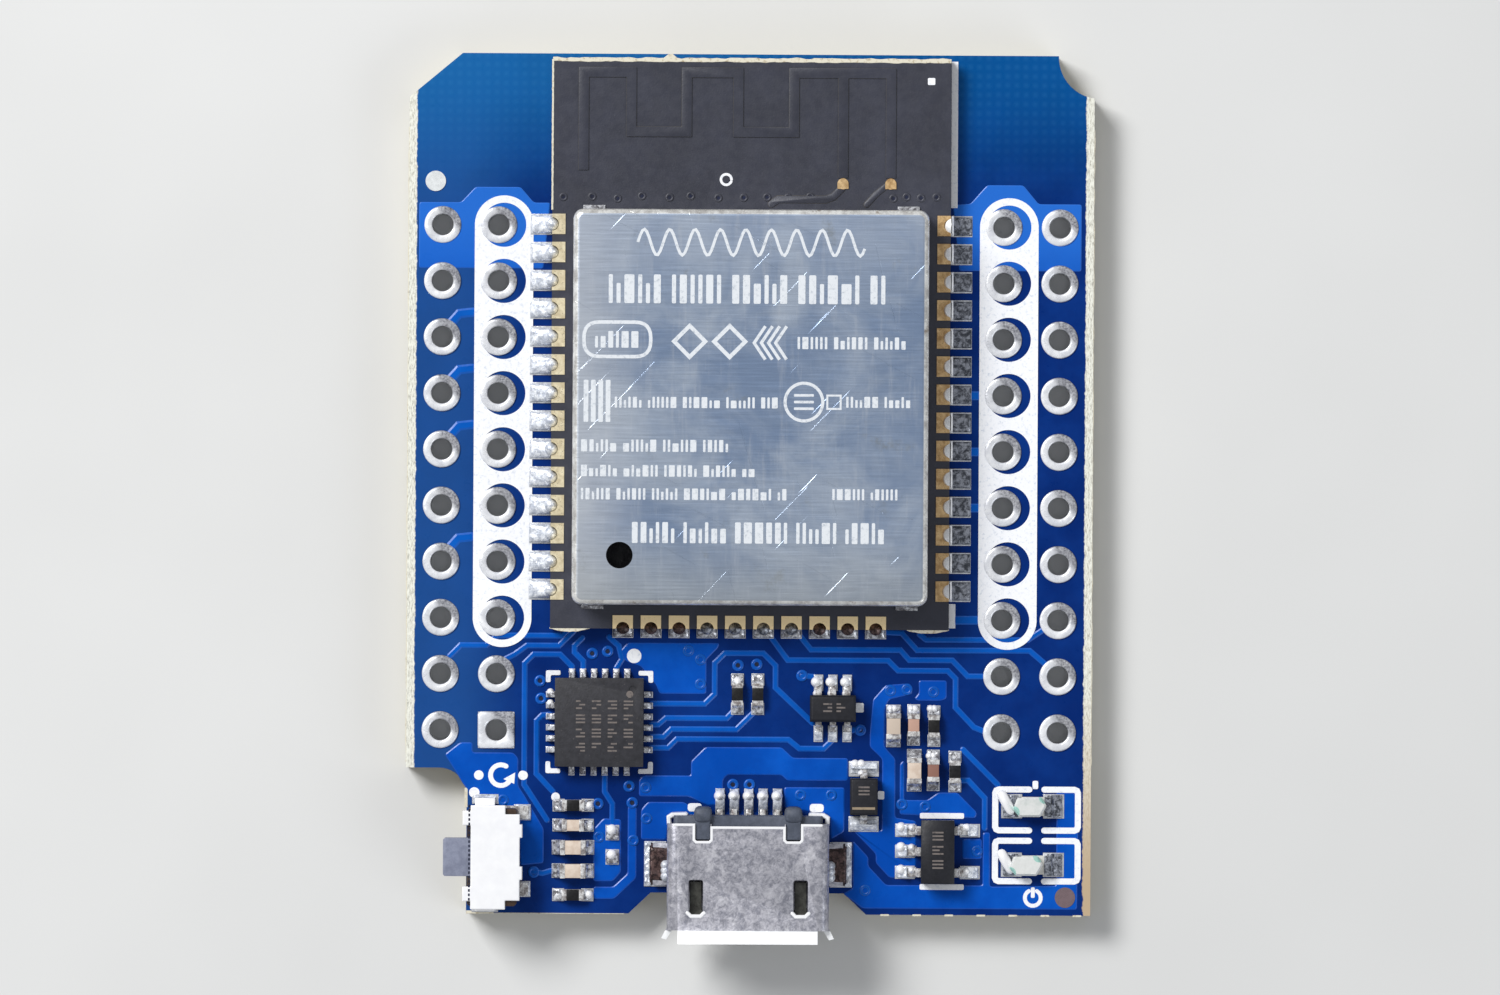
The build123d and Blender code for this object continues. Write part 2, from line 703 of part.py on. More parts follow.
with BuildPart() as bridge_chip_solder:
    with BuildSketch(Plane.XY.offset(PAD_TOP)):
        four_rows((BRIDGE_X, BRIDGE_Y), BRIDGE_W / 2 + 0.05, BRIDGE_PITCH, BRIDGE_PINS, PIN_W, 0.66)
        with Locations((BRIDGE_X, BRIDGE_Y)):
            Rectangle(BRIDGE_PAD_W - 0.1, BRIDGE_PAD_W - 0.1)
    extrude(amount=FILM_T)
    for turn in (0, 90, 180, 270):
        for k in range(BRIDGE_PINS):
            away = Vector(BRIDGE_W / 2, BRIDGE_PITCH * (k - (BRIDGE_PINS - 1) / 2), 0)
            spot = Vector(BRIDGE_X, BRIDGE_Y, 0) + away.rotate(Axis.Z, turn)
            with BuildSketch(side_plane(spot.X, spot.Y, turn)):
                Polygon(
                    (0, SEAT_Z),
                    (0.38, SEAT_Z),
                    (0.34, SEAT_Z + 0.09),
                    (0.2, SEAT_Z + 0.19),
                    (0, SEAT_Z + 0.21),
                    align=None,
                )
            extrude(amount=0.13, both=True)

bridge_chip_solder.part.label = "bridge_chip_solder"
export_step(bridge_chip_solder.part, "parts/bridge_chip_solder.step")

# ---------------------------------------------------------------- micro-USB socket

# One bent strip: solder tail on the board, riser inside the insulator, blade under the tongue.
contact_profile = [
    (-14.15, SEAT_Z),
    (-15.55, SEAT_Z),
    (-15.85, 2.72),
    (-19.5, 2.72),
    (-19.5, 2.87),
    (-15.74, 2.87),
    (-15.44, SEAT_Z + 0.15),
    (-14.15, SEAT_Z + 0.15),
]

with BuildPart() as usb_contacts:
    for x in contact_xs:
        with BuildSketch(Plane.YZ.offset(x)):
            Polygon(*contact_profile, align=None)
        extrude(amount=CONTACT_W / 2, both=True)

usb_contacts.part.label = "usb_contacts"
export_step(usb_contacts.part, "parts/usb_contacts.step")

with BuildPart() as usb_insulator:
    with BuildSketch(Plane.XZ.offset(15.2)) as insulator_section:
        with BuildLine():
            Polyline(
                (-3.36, 3.8),
                (3.36, 3.8),
                (3.36, 2.86),
                (2.62, 1.95),
                (-2.62, 1.95),
                (-3.36, 2.86),
                close=True,
            )
        make_face()
        fillet(insulator_section.vertices(), radius=0.2)
    extrude(amount=1.9)
    with BuildSketch(Plane.XZ.offset(17.1)):
        with Locations((0, 3.17)):
            Rectangle(3.9, 0.6)
    extrude(amount=2.75)
    chamfer(usb_insulator.faces().sort_by(Axis.Y)[0].edges(), length=0.12)
    with BuildSketch(Plane.XZ.offset(14.85)):
        with Locations((-POST_X, 2.95), (POST_X, 2.95)):
            Rectangle(0.64, 2.1)
    extrude(amount=1.4)
    fillet(usb_insulator.edges().group_by(Axis.Y)[-1], radius=0.16)
    for x in contact_xs:
        with BuildSketch(Plane.YZ.offset(x)):
            Polygon(*contact_profile, align=None)
        extrude(amount=CONTACT_W / 2, both=True, mode=Mode.SUBTRACT)

usb_insulator.part.label = "usb_insulator"
export_step(usb_insulator.part, "parts/usb_insulator.step")

with BuildPart() as usb_shell:
    with BuildSketch(Plane.XZ.offset(USB_BACK)) as shell_section:
        with BuildLine():
            Polyline(
                (-USB_HALF, USB_TOP),
                (USB_HALF, USB_TOP),
                (USB_HALF, 2.76),
                (2.75, USB_LOW),
                (-2.75, USB_LOW),
                (-USB_HALF, 2.76),
                close=True,
            )
        make_face()
        fillet(shell_section.vertices(), radius=0.45)
        offset(amount=-USB_SHEET, mode=Mode.SUBTRACT)
    extrude(amount=USB_FRONT - USB_BACK)
    # Open back, notches for the insulator's posts, latch windows.
    with BuildSketch(Plane.XY.offset(USB_TOP - 0.3)):
        with Locations((0, -USB_BACK)):
            Rectangle(3.3, 0.24)
        with Locations((-POST_X, -15.85), (POST_X, -15.85)):
            Rectangle(0.7, 0.95)
        with Locations((-2.34, -18.9), (2.38, -18.9)):
            RectangleRounded(0.66, 1.66, 0.12)
    extrude(amount=0.4, mode=Mode.SUBTRACT)
    with BuildSketch(Plane.XY.offset(USB_LOW - 0.1)):
        with Locations((0, -15.95)):
            Rectangle(4.4, 1.0)
    extrude(amount=0.5, mode=Mode.SUBTRACT)
    # Flared mouth: a lip on each of the four sides.
    with BuildSketch(Plane.YZ):
        Polygon(
            (-USB_FRONT + 0.1, USB_TOP),
            (-20.95, USB_TOP + 0.34),
            (-20.95, USB_TOP + 0.08),
            (-USB_FRONT, USB_TOP - USB_SHEET),
            (-USB_FRONT + 0.1, USB_TOP - USB_SHEET),
            align=None,
        )
        Polygon(
            (-USB_FRONT + 0.1, USB_LOW),
            (-20.9, USB_LOW - 0.3),
            (-20.9, USB_LOW - 0.05),
            (-USB_FRONT, USB_LOW + USB_SHEET),
            (-USB_FRONT + 0.1, USB_LOW + USB_SHEET),
            align=None,
        )
    extrude(amount=3.15, both=True)
    with BuildSketch(Plane.XY.offset(3.0)):
        for side in (-1, 1):
            Polygon(
                (side * USB_HALF, -USB_FRONT + 0.1),
                (side * (USB_HALF + 0.24), -20.72),
                (side * (USB_HALF + 0.02), -20.78),
                (side * (USB_HALF - USB_SHEET), -USB_FRONT),
                (side * (USB_HALF - USB_SHEET), -USB_FRONT + 0.1),
                align=None,
            )
    extrude(amount=0.7)
    # Side tabs that come down to the board and turn outwards.
    with BuildSketch(Plane.XZ.offset(USB_TAB_BACK)):
        for side in (-1, 1):
            Polygon(
                (side * USB_HALF, 3.0),
                (side * USB_HALF, USB_LOW + 0.27),
                (side * 4.3, USB_LOW + 0.27),
                (side * 4.3, USB_LOW + 0.03),
                (side * (USB_HALF - USB_SHEET), USB_LOW + 0.03),
                (side * (USB_HALF - USB_SHEET), 3.0),
                align=None,
            )
    extrude(amount=USB_TAB_L)

usb_shell.part.label = "usb_shell"
export_step(usb_shell.part, "parts/usb_shell.step")

with BuildPart() as usb_contact_solder:
    for x in contact_xs:
        with BuildSketch(Plane.YZ.offset(x)):
            with BuildLine():
                Polyline((-14.03, PAD_TOP), (-15.12, PAD_TOP), (-15.0, SEAT_Z + 0.12))
                Spline((-15.0, SEAT_Z + 0.12), (-14.4, SEAT_Z + 0.3), (-14.03, PAD_TOP))
            make_face()
        extrude(amount=0.2, both=True)
        with BuildSketch(Plane.YZ.offset(x)):
            Polygon(*contact_profile, align=None)
        extrude(amount=CONTACT_W / 2, both=True, mode=Mode.SUBTRACT)

usb_contact_solder.part.label = "usb_contact_solder"
export_step(usb_contact_solder.part, "parts/usb_contact_solder.step")

with BuildPart() as usb_tab_solder:
    for side in (-1, 1):
        with BuildSketch(Plane.XY.offset(PAD_TOP)):
            with Locations((side * 4.18, -17.45)):
                Rectangle(0.96, 2.0)
        extrude(amount=0.24)
    chamfer(usb_tab_solder.faces().group_by(Axis.Z)[-1].edges(), length=0.14)
    with BuildSketch(Plane.XZ.offset(USB_TAB_BACK)):
        with Locations((-3.4, USB_LOW + 0.03), (3.4, USB_LOW + 0.03)):
            Rectangle(1.8, 0.3, align=(Align.CENTER, Align.MIN))
    extrude(amount=USB_TAB_L, mode=Mode.SUBTRACT)

usb_tab_solder.part.label = "usb_tab_solder"
export_step(usb_tab_solder.part, "parts/usb_tab_solder.step")

# ---------------------------------------------------------------- reset switch

# A centre contact and an outer contact, each with a strip to its own rear foot.
with BuildPart() as switch_terminals:
    with BuildSketch(Plane.XY.offset(STRIP_Z)):
        rectangles(UPRIGHTS)
    extrude(amount=UPRIGHT_H)
    with BuildSketch(Plane.XY.offset(STRIP_Z)):
        rectangles(FLAT_STRIPS)
    extrude(amount=STRIP_H)
    with BuildSketch(Plane.XY.offset(2.15)):
        with Locations((-11.505, SW_Y)):
            Rectangle(0.25, 0.5)
    extrude(amount=0.5)

switch_terminals.part.label = "switch_terminals"
export_step(switch_terminals.part, "parts/switch_terminals.step")

with BuildPart() as switch_base:
    with BuildSketch(Plane.XY.offset(SW_LOW)):
        with Locations(((SW_FRONT + SW_REAR) / 2, SW_Y)):
            Rectangle(SW_REAR - SW_FRONT, SW_LEN)
    extrude(amount=SW_TOP - SW_LOW)
    chamfer(switch_base.edges().filter_by(Axis.Z), length=0.1)
    with BuildSketch(Plane.XY.offset(CAVITY_LOW)):
        with Locations(((CAVITY_FRONT + CAVITY_REAR) / 2, SW_Y)):
            Rectangle(CAVITY_REAR - CAVITY_FRONT, 2.9)
        with Locations((SW_FRONT, SW_Y)):
            Rectangle(1.0, STEM_W + 2 * PLAY)
    extrude(amount=SW_TOP - CAVITY_LOW, mode=Mode.SUBTRACT)
    # Slots that hold the terminals
    with BuildSketch(Plane.XY.offset(STRIP_Z)):
        rectangles(UPRIGHTS)
    extrude(amount=UPRIGHT_H, mode=Mode.SUBTRACT)
    with BuildSketch(Plane.XY.offset(STRIP_Z)):
        rectangles(FLAT_STRIPS)
    extrude(amount=STRIP_H, mode=Mode.SUBTRACT)

switch_base.part.label = "switch_base"
export_step(switch_base.part, "parts/switch_base.step")

# Stem through the front wall, flange behind it, nose on the dome.
with BuildPart() as switch_plunger:
    with BuildSketch(Plane.XY.offset(CAVITY_LOW + PLAY)):
        with Locations((-13.1, SW_Y)):
            Rectangle(1.34, STEM_W)
    extrude(amount=STEM_H)
    fillet(switch_plunger.edges().group_by(Axis.X)[0], radius=0.12)
    with BuildSketch(Plane.XY.offset(CAVITY_LOW + PLAY)):
        with Locations((-12.305, SW_Y)):
            Rectangle(0.25, 2.6)
    extrude(amount=STEM_H)
    with BuildSketch(Plane.XY.offset(2.15)):
        with Locations((NOSE_X - 0.13, SW_Y)):
            Rectangle(0.26, 0.6)
    extrude(amount=0.5)

switch_plunger.part.label = "switch_plunger"
export_step(switch_plunger.part, "parts/switch_plunger.step")

with BuildPart() as switch_snap_dome:
    with BuildSketch(Plane.XY.offset(2.05)):
        with BuildLine():
            ThreePointArc((CAVITY_REAR, SW_Y + 1.25), (DOME_APEX, SW_Y), (CAVITY_REAR, SW_Y - 1.25))
            Line((CAVITY_REAR, SW_Y - 1.25), (CAVITY_REAR, SW_Y - 1.17))
            ThreePointArc(
                (CAVITY_REAR, SW_Y - 1.17),
                (DOME_APEX + 0.06, SW_Y),
                (CAVITY_REAR, SW_Y + 1.17),
            )
            Line((CAVITY_REAR, SW_Y + 1.17), (CAVITY_REAR, SW_Y + 1.25))
        make_face()
    extrude(amount=0.7)

switch_snap_dome.part.label = "switch_snap_dome"
export_step(switch_snap_dome.part, "parts/switch_snap_dome.step")

with BuildPart() as switch_cover:
    with BuildSketch(Plane.XY.offset(SW_TOP)):
        with Locations((-11.41, SW_Y)):
            Rectangle(2.22, SW_LEN + 2 * COVER_T)
        with Locations((-12.68, -15.38), (-12.68, -18.8)):
            Rectangle(0.4, 0.66)
        with Locations((-10.34, -15.96), (-10.34, -17.86)):
            Rectangle(0.3, 0.6)
        with Locations((-10.6, SW_Y + 2.25), (-10.6, SW_Y - 2.25)):
            Rectangle(0.7, 0.6, mode=Mode.SUBTRACT)
    extrude(amount=COVER_T)
    # Hooks over the front edge, tabs down the rear
    with BuildSketch(Plane.XY.offset(2.5)):
        with Locations((-12.78, -15.38), (-12.78, -18.8)):
            Rectangle(0.2, 0.66)
    extrude(amount=SW_TOP - 2.5)
    with BuildSketch(Plane.XY.offset(2.2)):
        with Locations(COVER_TABS):
            Rectangle(0.26, 0.6)
    extrude(amount=SW_TOP - 2.2)
    # End legs down to the board, each with a foot
    with BuildSketch(Plane.XY.offset(SEAT_Z)):
        with Locations((-11.9, SW_Y + (SW_LEN + COVER_T) / 2), (-11.9, SW_Y - (SW_LEN + COVER_T) / 2)):
            Rectangle(0.9, COVER_T)
    extrude(amount=SW_TOP + COVER_T - SEAT_Z)
    with BuildSketch(Plane.XY.offset(SEAT_Z)):
        with Locations((-11.9, -14.66)):
            Rectangle(0.9, 0.3)
        with Locations((-11.9, -19.56)):
            Rectangle(0.9, 0.14)
    extrude(amount=COVER_T)
    fillet(switch_cover.faces().sort_by(Axis.Z)[-1].edges(), radius=0.06)

switch_cover.part.label = "switch_cover"
export_step(switch_cover.part, "parts/switch_cover.step")

with BuildPart() as switch_solder:
    with BuildSketch(Plane.XY.offset(PAD_TOP)):
        with Locations((-10.2, -15.15), (-10.2, -18.62)):
            Rectangle(0.72, 0.66)
    extrude(amount=0.1)
    chamfer(switch_solder.faces().group_by(Axis.Z)[-1].edges(), length=0.07)
    with BuildSketch(Plane.XY.offset(STRIP_Z)):
        with Locations(REAR_FEET):
            Rectangle(1.44, 0.6)
    extrude(amount=STRIP_H, mode=Mode.SUBTRACT)
    with BuildSketch(side_plane(-11.9, -14.5, 90)):
        with BuildLine():
            Polyline((0.13, PAD_TOP), (-0.28, PAD_TOP), (-0.28, SEAT_Z), (0, SEAT_Z), (0, SEAT_Z + 0.14))
            Spline((0, SEAT_Z + 0.14), (0.05, SEAT_Z + 0.04), (0.13, PAD_TOP))
        make_face()
    extrude(amount=0.5, both=True)
    with BuildSketch(Plane.XY.offset(PAD_TOP)):
        with Locations((-11.9, -19.56)):
            Rectangle(1.0, 0.14)
    extrude(amount=FILM_T)

switch_solder.part.label = "switch_solder"
export_step(switch_solder.part, "parts/switch_solder.step")

# ---------------------------------------------------------------- moulded packages with leads

with BuildPart() as regulator_body:
    with BuildSketch(Plane.XY.offset(SEAT_Z + 0.08)):
        with Locations(REGULATOR):
            Rectangle(REGULATOR_W, REGULATOR_L)
    extrude(amount=REGULATOR_TOP - SEAT_Z - 0.08)
    chamfer(regulator_body.faces().sort_by(Axis.Z)[-1].edges(), length=0.14, length2=0.4)
    chamfer(regulator_body.faces().sort_by(Axis.Z)[0].edges(), length=0.06)

regulator_body.part.label = "regulator_body"
export_step(regulator_body.part, "parts/regulator_body.step")

with BuildPart() as regulator_leads:
    for x, y, turn in regulator_leads_at:
        with BuildSketch(side_plane(x, y, turn)):
            Polygon(*gull_wing(0.62, 0.55, 0.13), align=None)
        extrude(amount=0.2, both=True)

regulator_leads.part.label = "regulator_leads"
export_step(regulator_leads.part, "parts/regulator_leads.step")

with BuildPart() as transistor_pair_body:
    with BuildSketch(Plane.XY.offset(SEAT_Z + 0.06)):
        with Locations(TRANSISTOR):
            Rectangle(TRANSISTOR_W, TRANSISTOR_L)
    extrude(amount=TRANSISTOR_TOP - SEAT_Z - 0.06)
    chamfer(transistor_pair_body.faces().sort_by(Axis.Z)[-1].edges(), length=0.1)
    chamfer(transistor_pair_body.faces().sort_by(Axis.Z)[0].edges(), length=0.05)

transistor_pair_body.part.label = "transistor_pair_body"
export_step(transistor_pair_body.part, "parts/transistor_pair_body.step")

with BuildPart() as transistor_pair_leads:
    for x, y, turn in transistor_leads_at:
        with BuildSketch(side_plane(x, y, turn)):
            Polygon(*gull_wing(0.46, 0.5, 0.12), align=None)
        extrude(amount=0.14, both=True)

transistor_pair_leads.part.label = "transistor_pair_leads"
export_step(transistor_pair_leads.part, "parts/transistor_pair_leads.step")

with BuildPart() as diode_body:
    with BuildSketch(Plane.XY.offset(SEAT_Z + 0.05)):
        with Locations(DIODE):
            Rectangle(DIODE_W, DIODE_L)
    extrude(amount=DIODE_TOP - SEAT_Z - 0.05)
    chamfer(diode_body.faces().sort_by(Axis.Z)[-1].edges(), length=0.09)

diode_body.part.label = "diode_body"
export_step(diode_body.part, "parts/diode_body.step")

with BuildPart() as diode_leads:
    for x, y, turn in diode_leads_at:
        with BuildSketch(side_plane(x, y, turn)):
            Polygon(*gull_wing(0.42, 0.5, 0.12), align=None)
        extrude(amount=0.16, both=True)

diode_leads.part.label = "diode_leads"
export_step(diode_leads.part, "parts/diode_leads.step")

with BuildPart() as lead_solder_joints:
    for x, y, turn in regulator_leads_at:
        with BuildSketch(side_plane(x, y, turn)):
            Polygon(*lead_solder(0.62, 1.12, 0.26), align=None)
        extrude(amount=0.25, both=True)
    for x, y, turn in transistor_leads_at:
        with BuildSketch(side_plane(x, y, turn)):
            Polygon(*lead_solder(0.46, 0.9, 0.22), align=None)
        extrude(amount=0.18, both=True)
    for x, y, turn in diode_leads_at:
        with BuildSketch(side_plane(x, y, turn)):
            Polygon(*lead_solder(0.42, 0.75, 0.24), align=None)
        extrude(amount=0.6, both=True)

lead_solder_joints.part.label = "lead_solder_joints"
export_step(lead_solder_joints.part, "parts/lead_solder_joints.step")

# ---------------------------------------------------------------- chip resistors and capacitors

with BuildPart() as resistor_substrates:
    with BuildSketch(Plane.XY.offset(SEAT_Z + PLATE)):
        chip_middles(RESISTORS, CHIP_L - 2 * PLATE, CHIP_W)
    extrude(amount=RESISTOR_H - 2 * PLATE)

resistor_substrates.part.label = "resistor_substrates"
export_step(resistor_substrates.part, "parts/resistor_substrates.step")

with BuildPart() as resistor_coatings:
    with BuildSketch(Plane.XY.offset(SEAT_Z + RESISTOR_H - PLATE)):
        chip_middles(RESISTORS, CHIP_L - 2 * END_CAP, CHIP_W)
    extrude(amount=0.04)

resistor_coatings.part.label = "resistor_coatings"
export_step(resistor_coatings.part, "parts/resistor_coatings.step")

# End caps wrap round the ends of the substrate.
with BuildPart() as resistor_end_caps:
    with BuildSketch(Plane.XY.offset(SEAT_Z)):
        chip_ends(RESISTORS, CHIP_L - END_CAP, END_CAP, CHIP_W)
    extrude(amount=RESISTOR_H)
    with BuildSketch(Plane.XY.offset(SEAT_Z + PLATE)):
        chip_middles(RESISTORS, CHIP_L - 2 * PLATE, CHIP_W)
    extrude(amount=RESISTOR_H - 2 * PLATE, mode=Mode.SUBTRACT)

resistor_end_caps.part.label = "resistor_end_caps"
export_step(resistor_end_caps.part, "parts/resistor_end_caps.step")

capacitor_sizes = [(spot, CHIP_L, CHIP_W, SMALL_CAP_H) for spot in SMALL_CAPS]
capacitor_sizes += [(spot, LARGE_L, LARGE_W, LARGE_H) for spot in LARGE_CAPS]

with BuildPart() as capacitor_bodies:
    for spot, length, width, height in capacitor_sizes:
        with BuildSketch(Plane.XY.offset(SEAT_Z + PLATE)):
            chip_middles([spot], length - 2 * PLATE, width)
        extrude(amount=height)

capacitor_bodies.part.label = "capacitor_bodies"
export_step(capacitor_bodies.part, "parts/capacitor_bodies.step")

with BuildPart() as capacitor_end_caps:
    for spot, length, width, height in capacitor_sizes:
        with BuildSketch(Plane.XY.offset(SEAT_Z)):
            chip_ends([spot], length - END_CAP, END_CAP, width + 2 * PLATE)
        extrude(amount=height + 2 * PLATE)
        with BuildSketch(Plane.XY.offset(SEAT_Z + PLATE)):
            chip_middles([spot], length - 2 * PLATE, width)
        extrude(amount=height, mode=Mode.SUBTRACT)

capacitor_end_caps.part.label = "capacitor_end_caps"
export_step(capacitor_end_caps.part, "parts/capacitor_end_caps.step")

joint_sizes = [(spot, CHIP_L / 2, 0.91, CHIP_W / 2, 0.24) for spot in RESISTORS]
joint_sizes += [(spot, CHIP_L / 2, 0.91, CHIP_W / 2, 0.34) for spot in SMALL_CAPS]
joint_sizes += [(spot, LARGE_L / 2, 0.94, LARGE_W / 2, 0.4) for spot in LARGE_CAPS]

with BuildPart() as chip_solder_joints:
    # Bumps left on two unpopulated pads
    with BuildSketch(Plane.XY.offset(PAD_TOP)):
        with Locations(EMPTY_PADS):
            RectangleRounded(0.58, 0.64, 0.16)
    extrude(amount=0.16)
    fillet(chip_solder_joints.faces().group_by(Axis.Z)[-1].edges(), radius=0.12)
    for (x, y, turn), half, reach, half_width, height in joint_sizes:
        for heading in (turn, turn + 180):
            with BuildSketch(side_plane(x, y, heading)):
                Polygon(*end_solder(half, reach, height), align=None)
            extrude(amount=half_width, both=True)

chip_solder_joints.part.label = "chip_solder_joints"
export_step(chip_solder_joints.part, "parts/chip_solder_joints.step")

# ---------------------------------------------------------------- LEDs

LED_L = 1.6
LED_W = 0.85
LED_BASE_H = 0.3
LENS_H = 0.35
DIE_W = 0.24
DIE_H = 0.1

with BuildPart() as led_terminals:
    with BuildSketch(Plane.XY.offset(SEAT_Z)):
        with Locations(LED_SPOTS):
            with GridLocations(LED_L - 0.26, 1, 2, 1):
                Rectangle(0.3, LED_W)
    extrude(amount=LED_BASE_H + 2 * PLATE)
    with BuildSketch(Plane.XY.offset(SEAT_Z + PLATE)):
        with Locations(LED_SPOTS):
            Rectangle(LED_L, LED_W)
    extrude(amount=LED_BASE_H, mode=Mode.SUBTRACT)

led_terminals.part.label = "led_terminals"
export_step(led_terminals.part, "parts/led_terminals.step")

with BuildPart() as led_bases:
    with BuildSketch(Plane.XY.offset(SEAT_Z + PLATE)):
        with Locations(LED_SPOTS):
            Rectangle(LED_L, LED_W)
    extrude(amount=LED_BASE_H)

led_bases.part.label = "led_bases"
export_step(led_bases.part, "parts/led_bases.step")

with BuildPart() as led_dies:
    with BuildSketch(Plane.XY.offset(SEAT_Z + PLATE + LED_BASE_H)):
        with Locations(LED_SPOTS):
            Rectangle(DIE_W, DIE_W)
    extrude(amount=DIE_H)

led_dies.part.label = "led_dies"
export_step(led_dies.part, "parts/led_dies.step")

with BuildPart() as led_lenses:
    with BuildSketch(Plane.XY.offset(SEAT_Z + PLATE + LED_BASE_H)):
        with Locations(LED_SPOTS):
            Rectangle(1.0, LED_W)
    extrude(amount=LENS_H)
    chamfer(led_lenses.faces().group_by(Axis.Z)[-1].edges().filter_by(Axis.Y), length=0.1)
    with BuildSketch(Plane.XY.offset(SEAT_Z + PLATE + LED_BASE_H)):
        with Locations(LED_SPOTS):
            Rectangle(DIE_W, DIE_W)
    extrude(amount=DIE_H, mode=Mode.SUBTRACT)

led_lenses.part.label = "led_lenses"
export_step(led_lenses.part, "parts/led_lenses.step")

with BuildPart() as led_solder:
    for x, y in LED_SPOTS:
        for heading in (0, 180):
            with BuildSketch(side_plane(x, y, heading)):
                Polygon(*end_solder(LED_L / 2 + PLATE, 1.34, 0.28), align=None)
            extrude(amount=0.5, both=True)

led_solder.part.label = "led_solder"
export_step(led_solder.part, "parts/led_solder.step")
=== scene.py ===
"""Looks of a microcontroller dev board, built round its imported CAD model.

Sizes in this file are millimetres in the board's own frame: x across the board, y towards the antenna,
z up from the underside. They become metres only where a mesh, a light or the camera is made.
"""

import json
import math
import random
from functools import partial

import bmesh
import bpy
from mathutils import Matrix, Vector, noise


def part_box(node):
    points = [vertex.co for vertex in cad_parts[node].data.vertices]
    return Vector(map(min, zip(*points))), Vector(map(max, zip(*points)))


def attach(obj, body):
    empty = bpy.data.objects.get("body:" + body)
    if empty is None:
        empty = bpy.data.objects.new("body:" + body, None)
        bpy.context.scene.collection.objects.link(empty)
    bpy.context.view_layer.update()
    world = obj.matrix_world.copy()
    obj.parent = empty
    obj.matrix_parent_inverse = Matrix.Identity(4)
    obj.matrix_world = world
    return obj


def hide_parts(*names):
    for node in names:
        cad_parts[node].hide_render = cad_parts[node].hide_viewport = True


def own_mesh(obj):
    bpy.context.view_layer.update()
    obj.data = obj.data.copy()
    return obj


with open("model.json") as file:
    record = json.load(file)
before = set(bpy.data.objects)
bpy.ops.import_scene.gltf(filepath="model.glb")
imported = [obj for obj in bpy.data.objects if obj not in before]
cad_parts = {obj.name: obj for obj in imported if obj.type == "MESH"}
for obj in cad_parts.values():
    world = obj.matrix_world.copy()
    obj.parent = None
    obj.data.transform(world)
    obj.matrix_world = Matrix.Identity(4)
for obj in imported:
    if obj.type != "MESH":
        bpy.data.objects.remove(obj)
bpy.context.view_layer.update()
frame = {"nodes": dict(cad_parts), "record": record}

MM = 0.001


def box(node):
    """Lowest and highest corner of a CAD node, in millimetres."""
    low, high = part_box(node)
    return low / MM, high / MM


# ------------------------------------------------ places read from the frame

BOARD_LOW, BOARD_HIGH = box("main_board")
BOARD_TOP = BOARD_HIGH.z
PAD_TOP = box("surface_pads")[1].z
MODULE_LOW, MODULE_HIGH = box("module_board")
MODULE_TOP = MODULE_HIGH.z
CAN_LOW, CAN_HIGH = box("shield_can")
CHIP_LOW, CHIP_HIGH = box("bridge_chip_body")
HOLES = [Vector(mount["pos_m"]) / MM for mount in frame["record"]["mounts"] if mount["kind"] == "bore"]
HOLE_PITCH = 2.54
INNER_COLUMN = min(abs(hole.x) for hole in HOLES)
OUTER_COLUMN = max(abs(hole.x) for hole in HOLES)
ROW_Y = sorted({round(hole.y, 3) for hole in HOLES}, reverse=True)
EDGE_PITCH = 1.27
SIDE_PADS_Y = [11.46 - EDGE_PITCH * row for row in range(14)]
END_PADS_X = [EDGE_PITCH * (place - 4.5) for place in range(10)]
LIP_Y = -20.35


# ------------------------------------------------ shapes


def lifted(line, z):
    return [(x, y, z) for x, y in line]


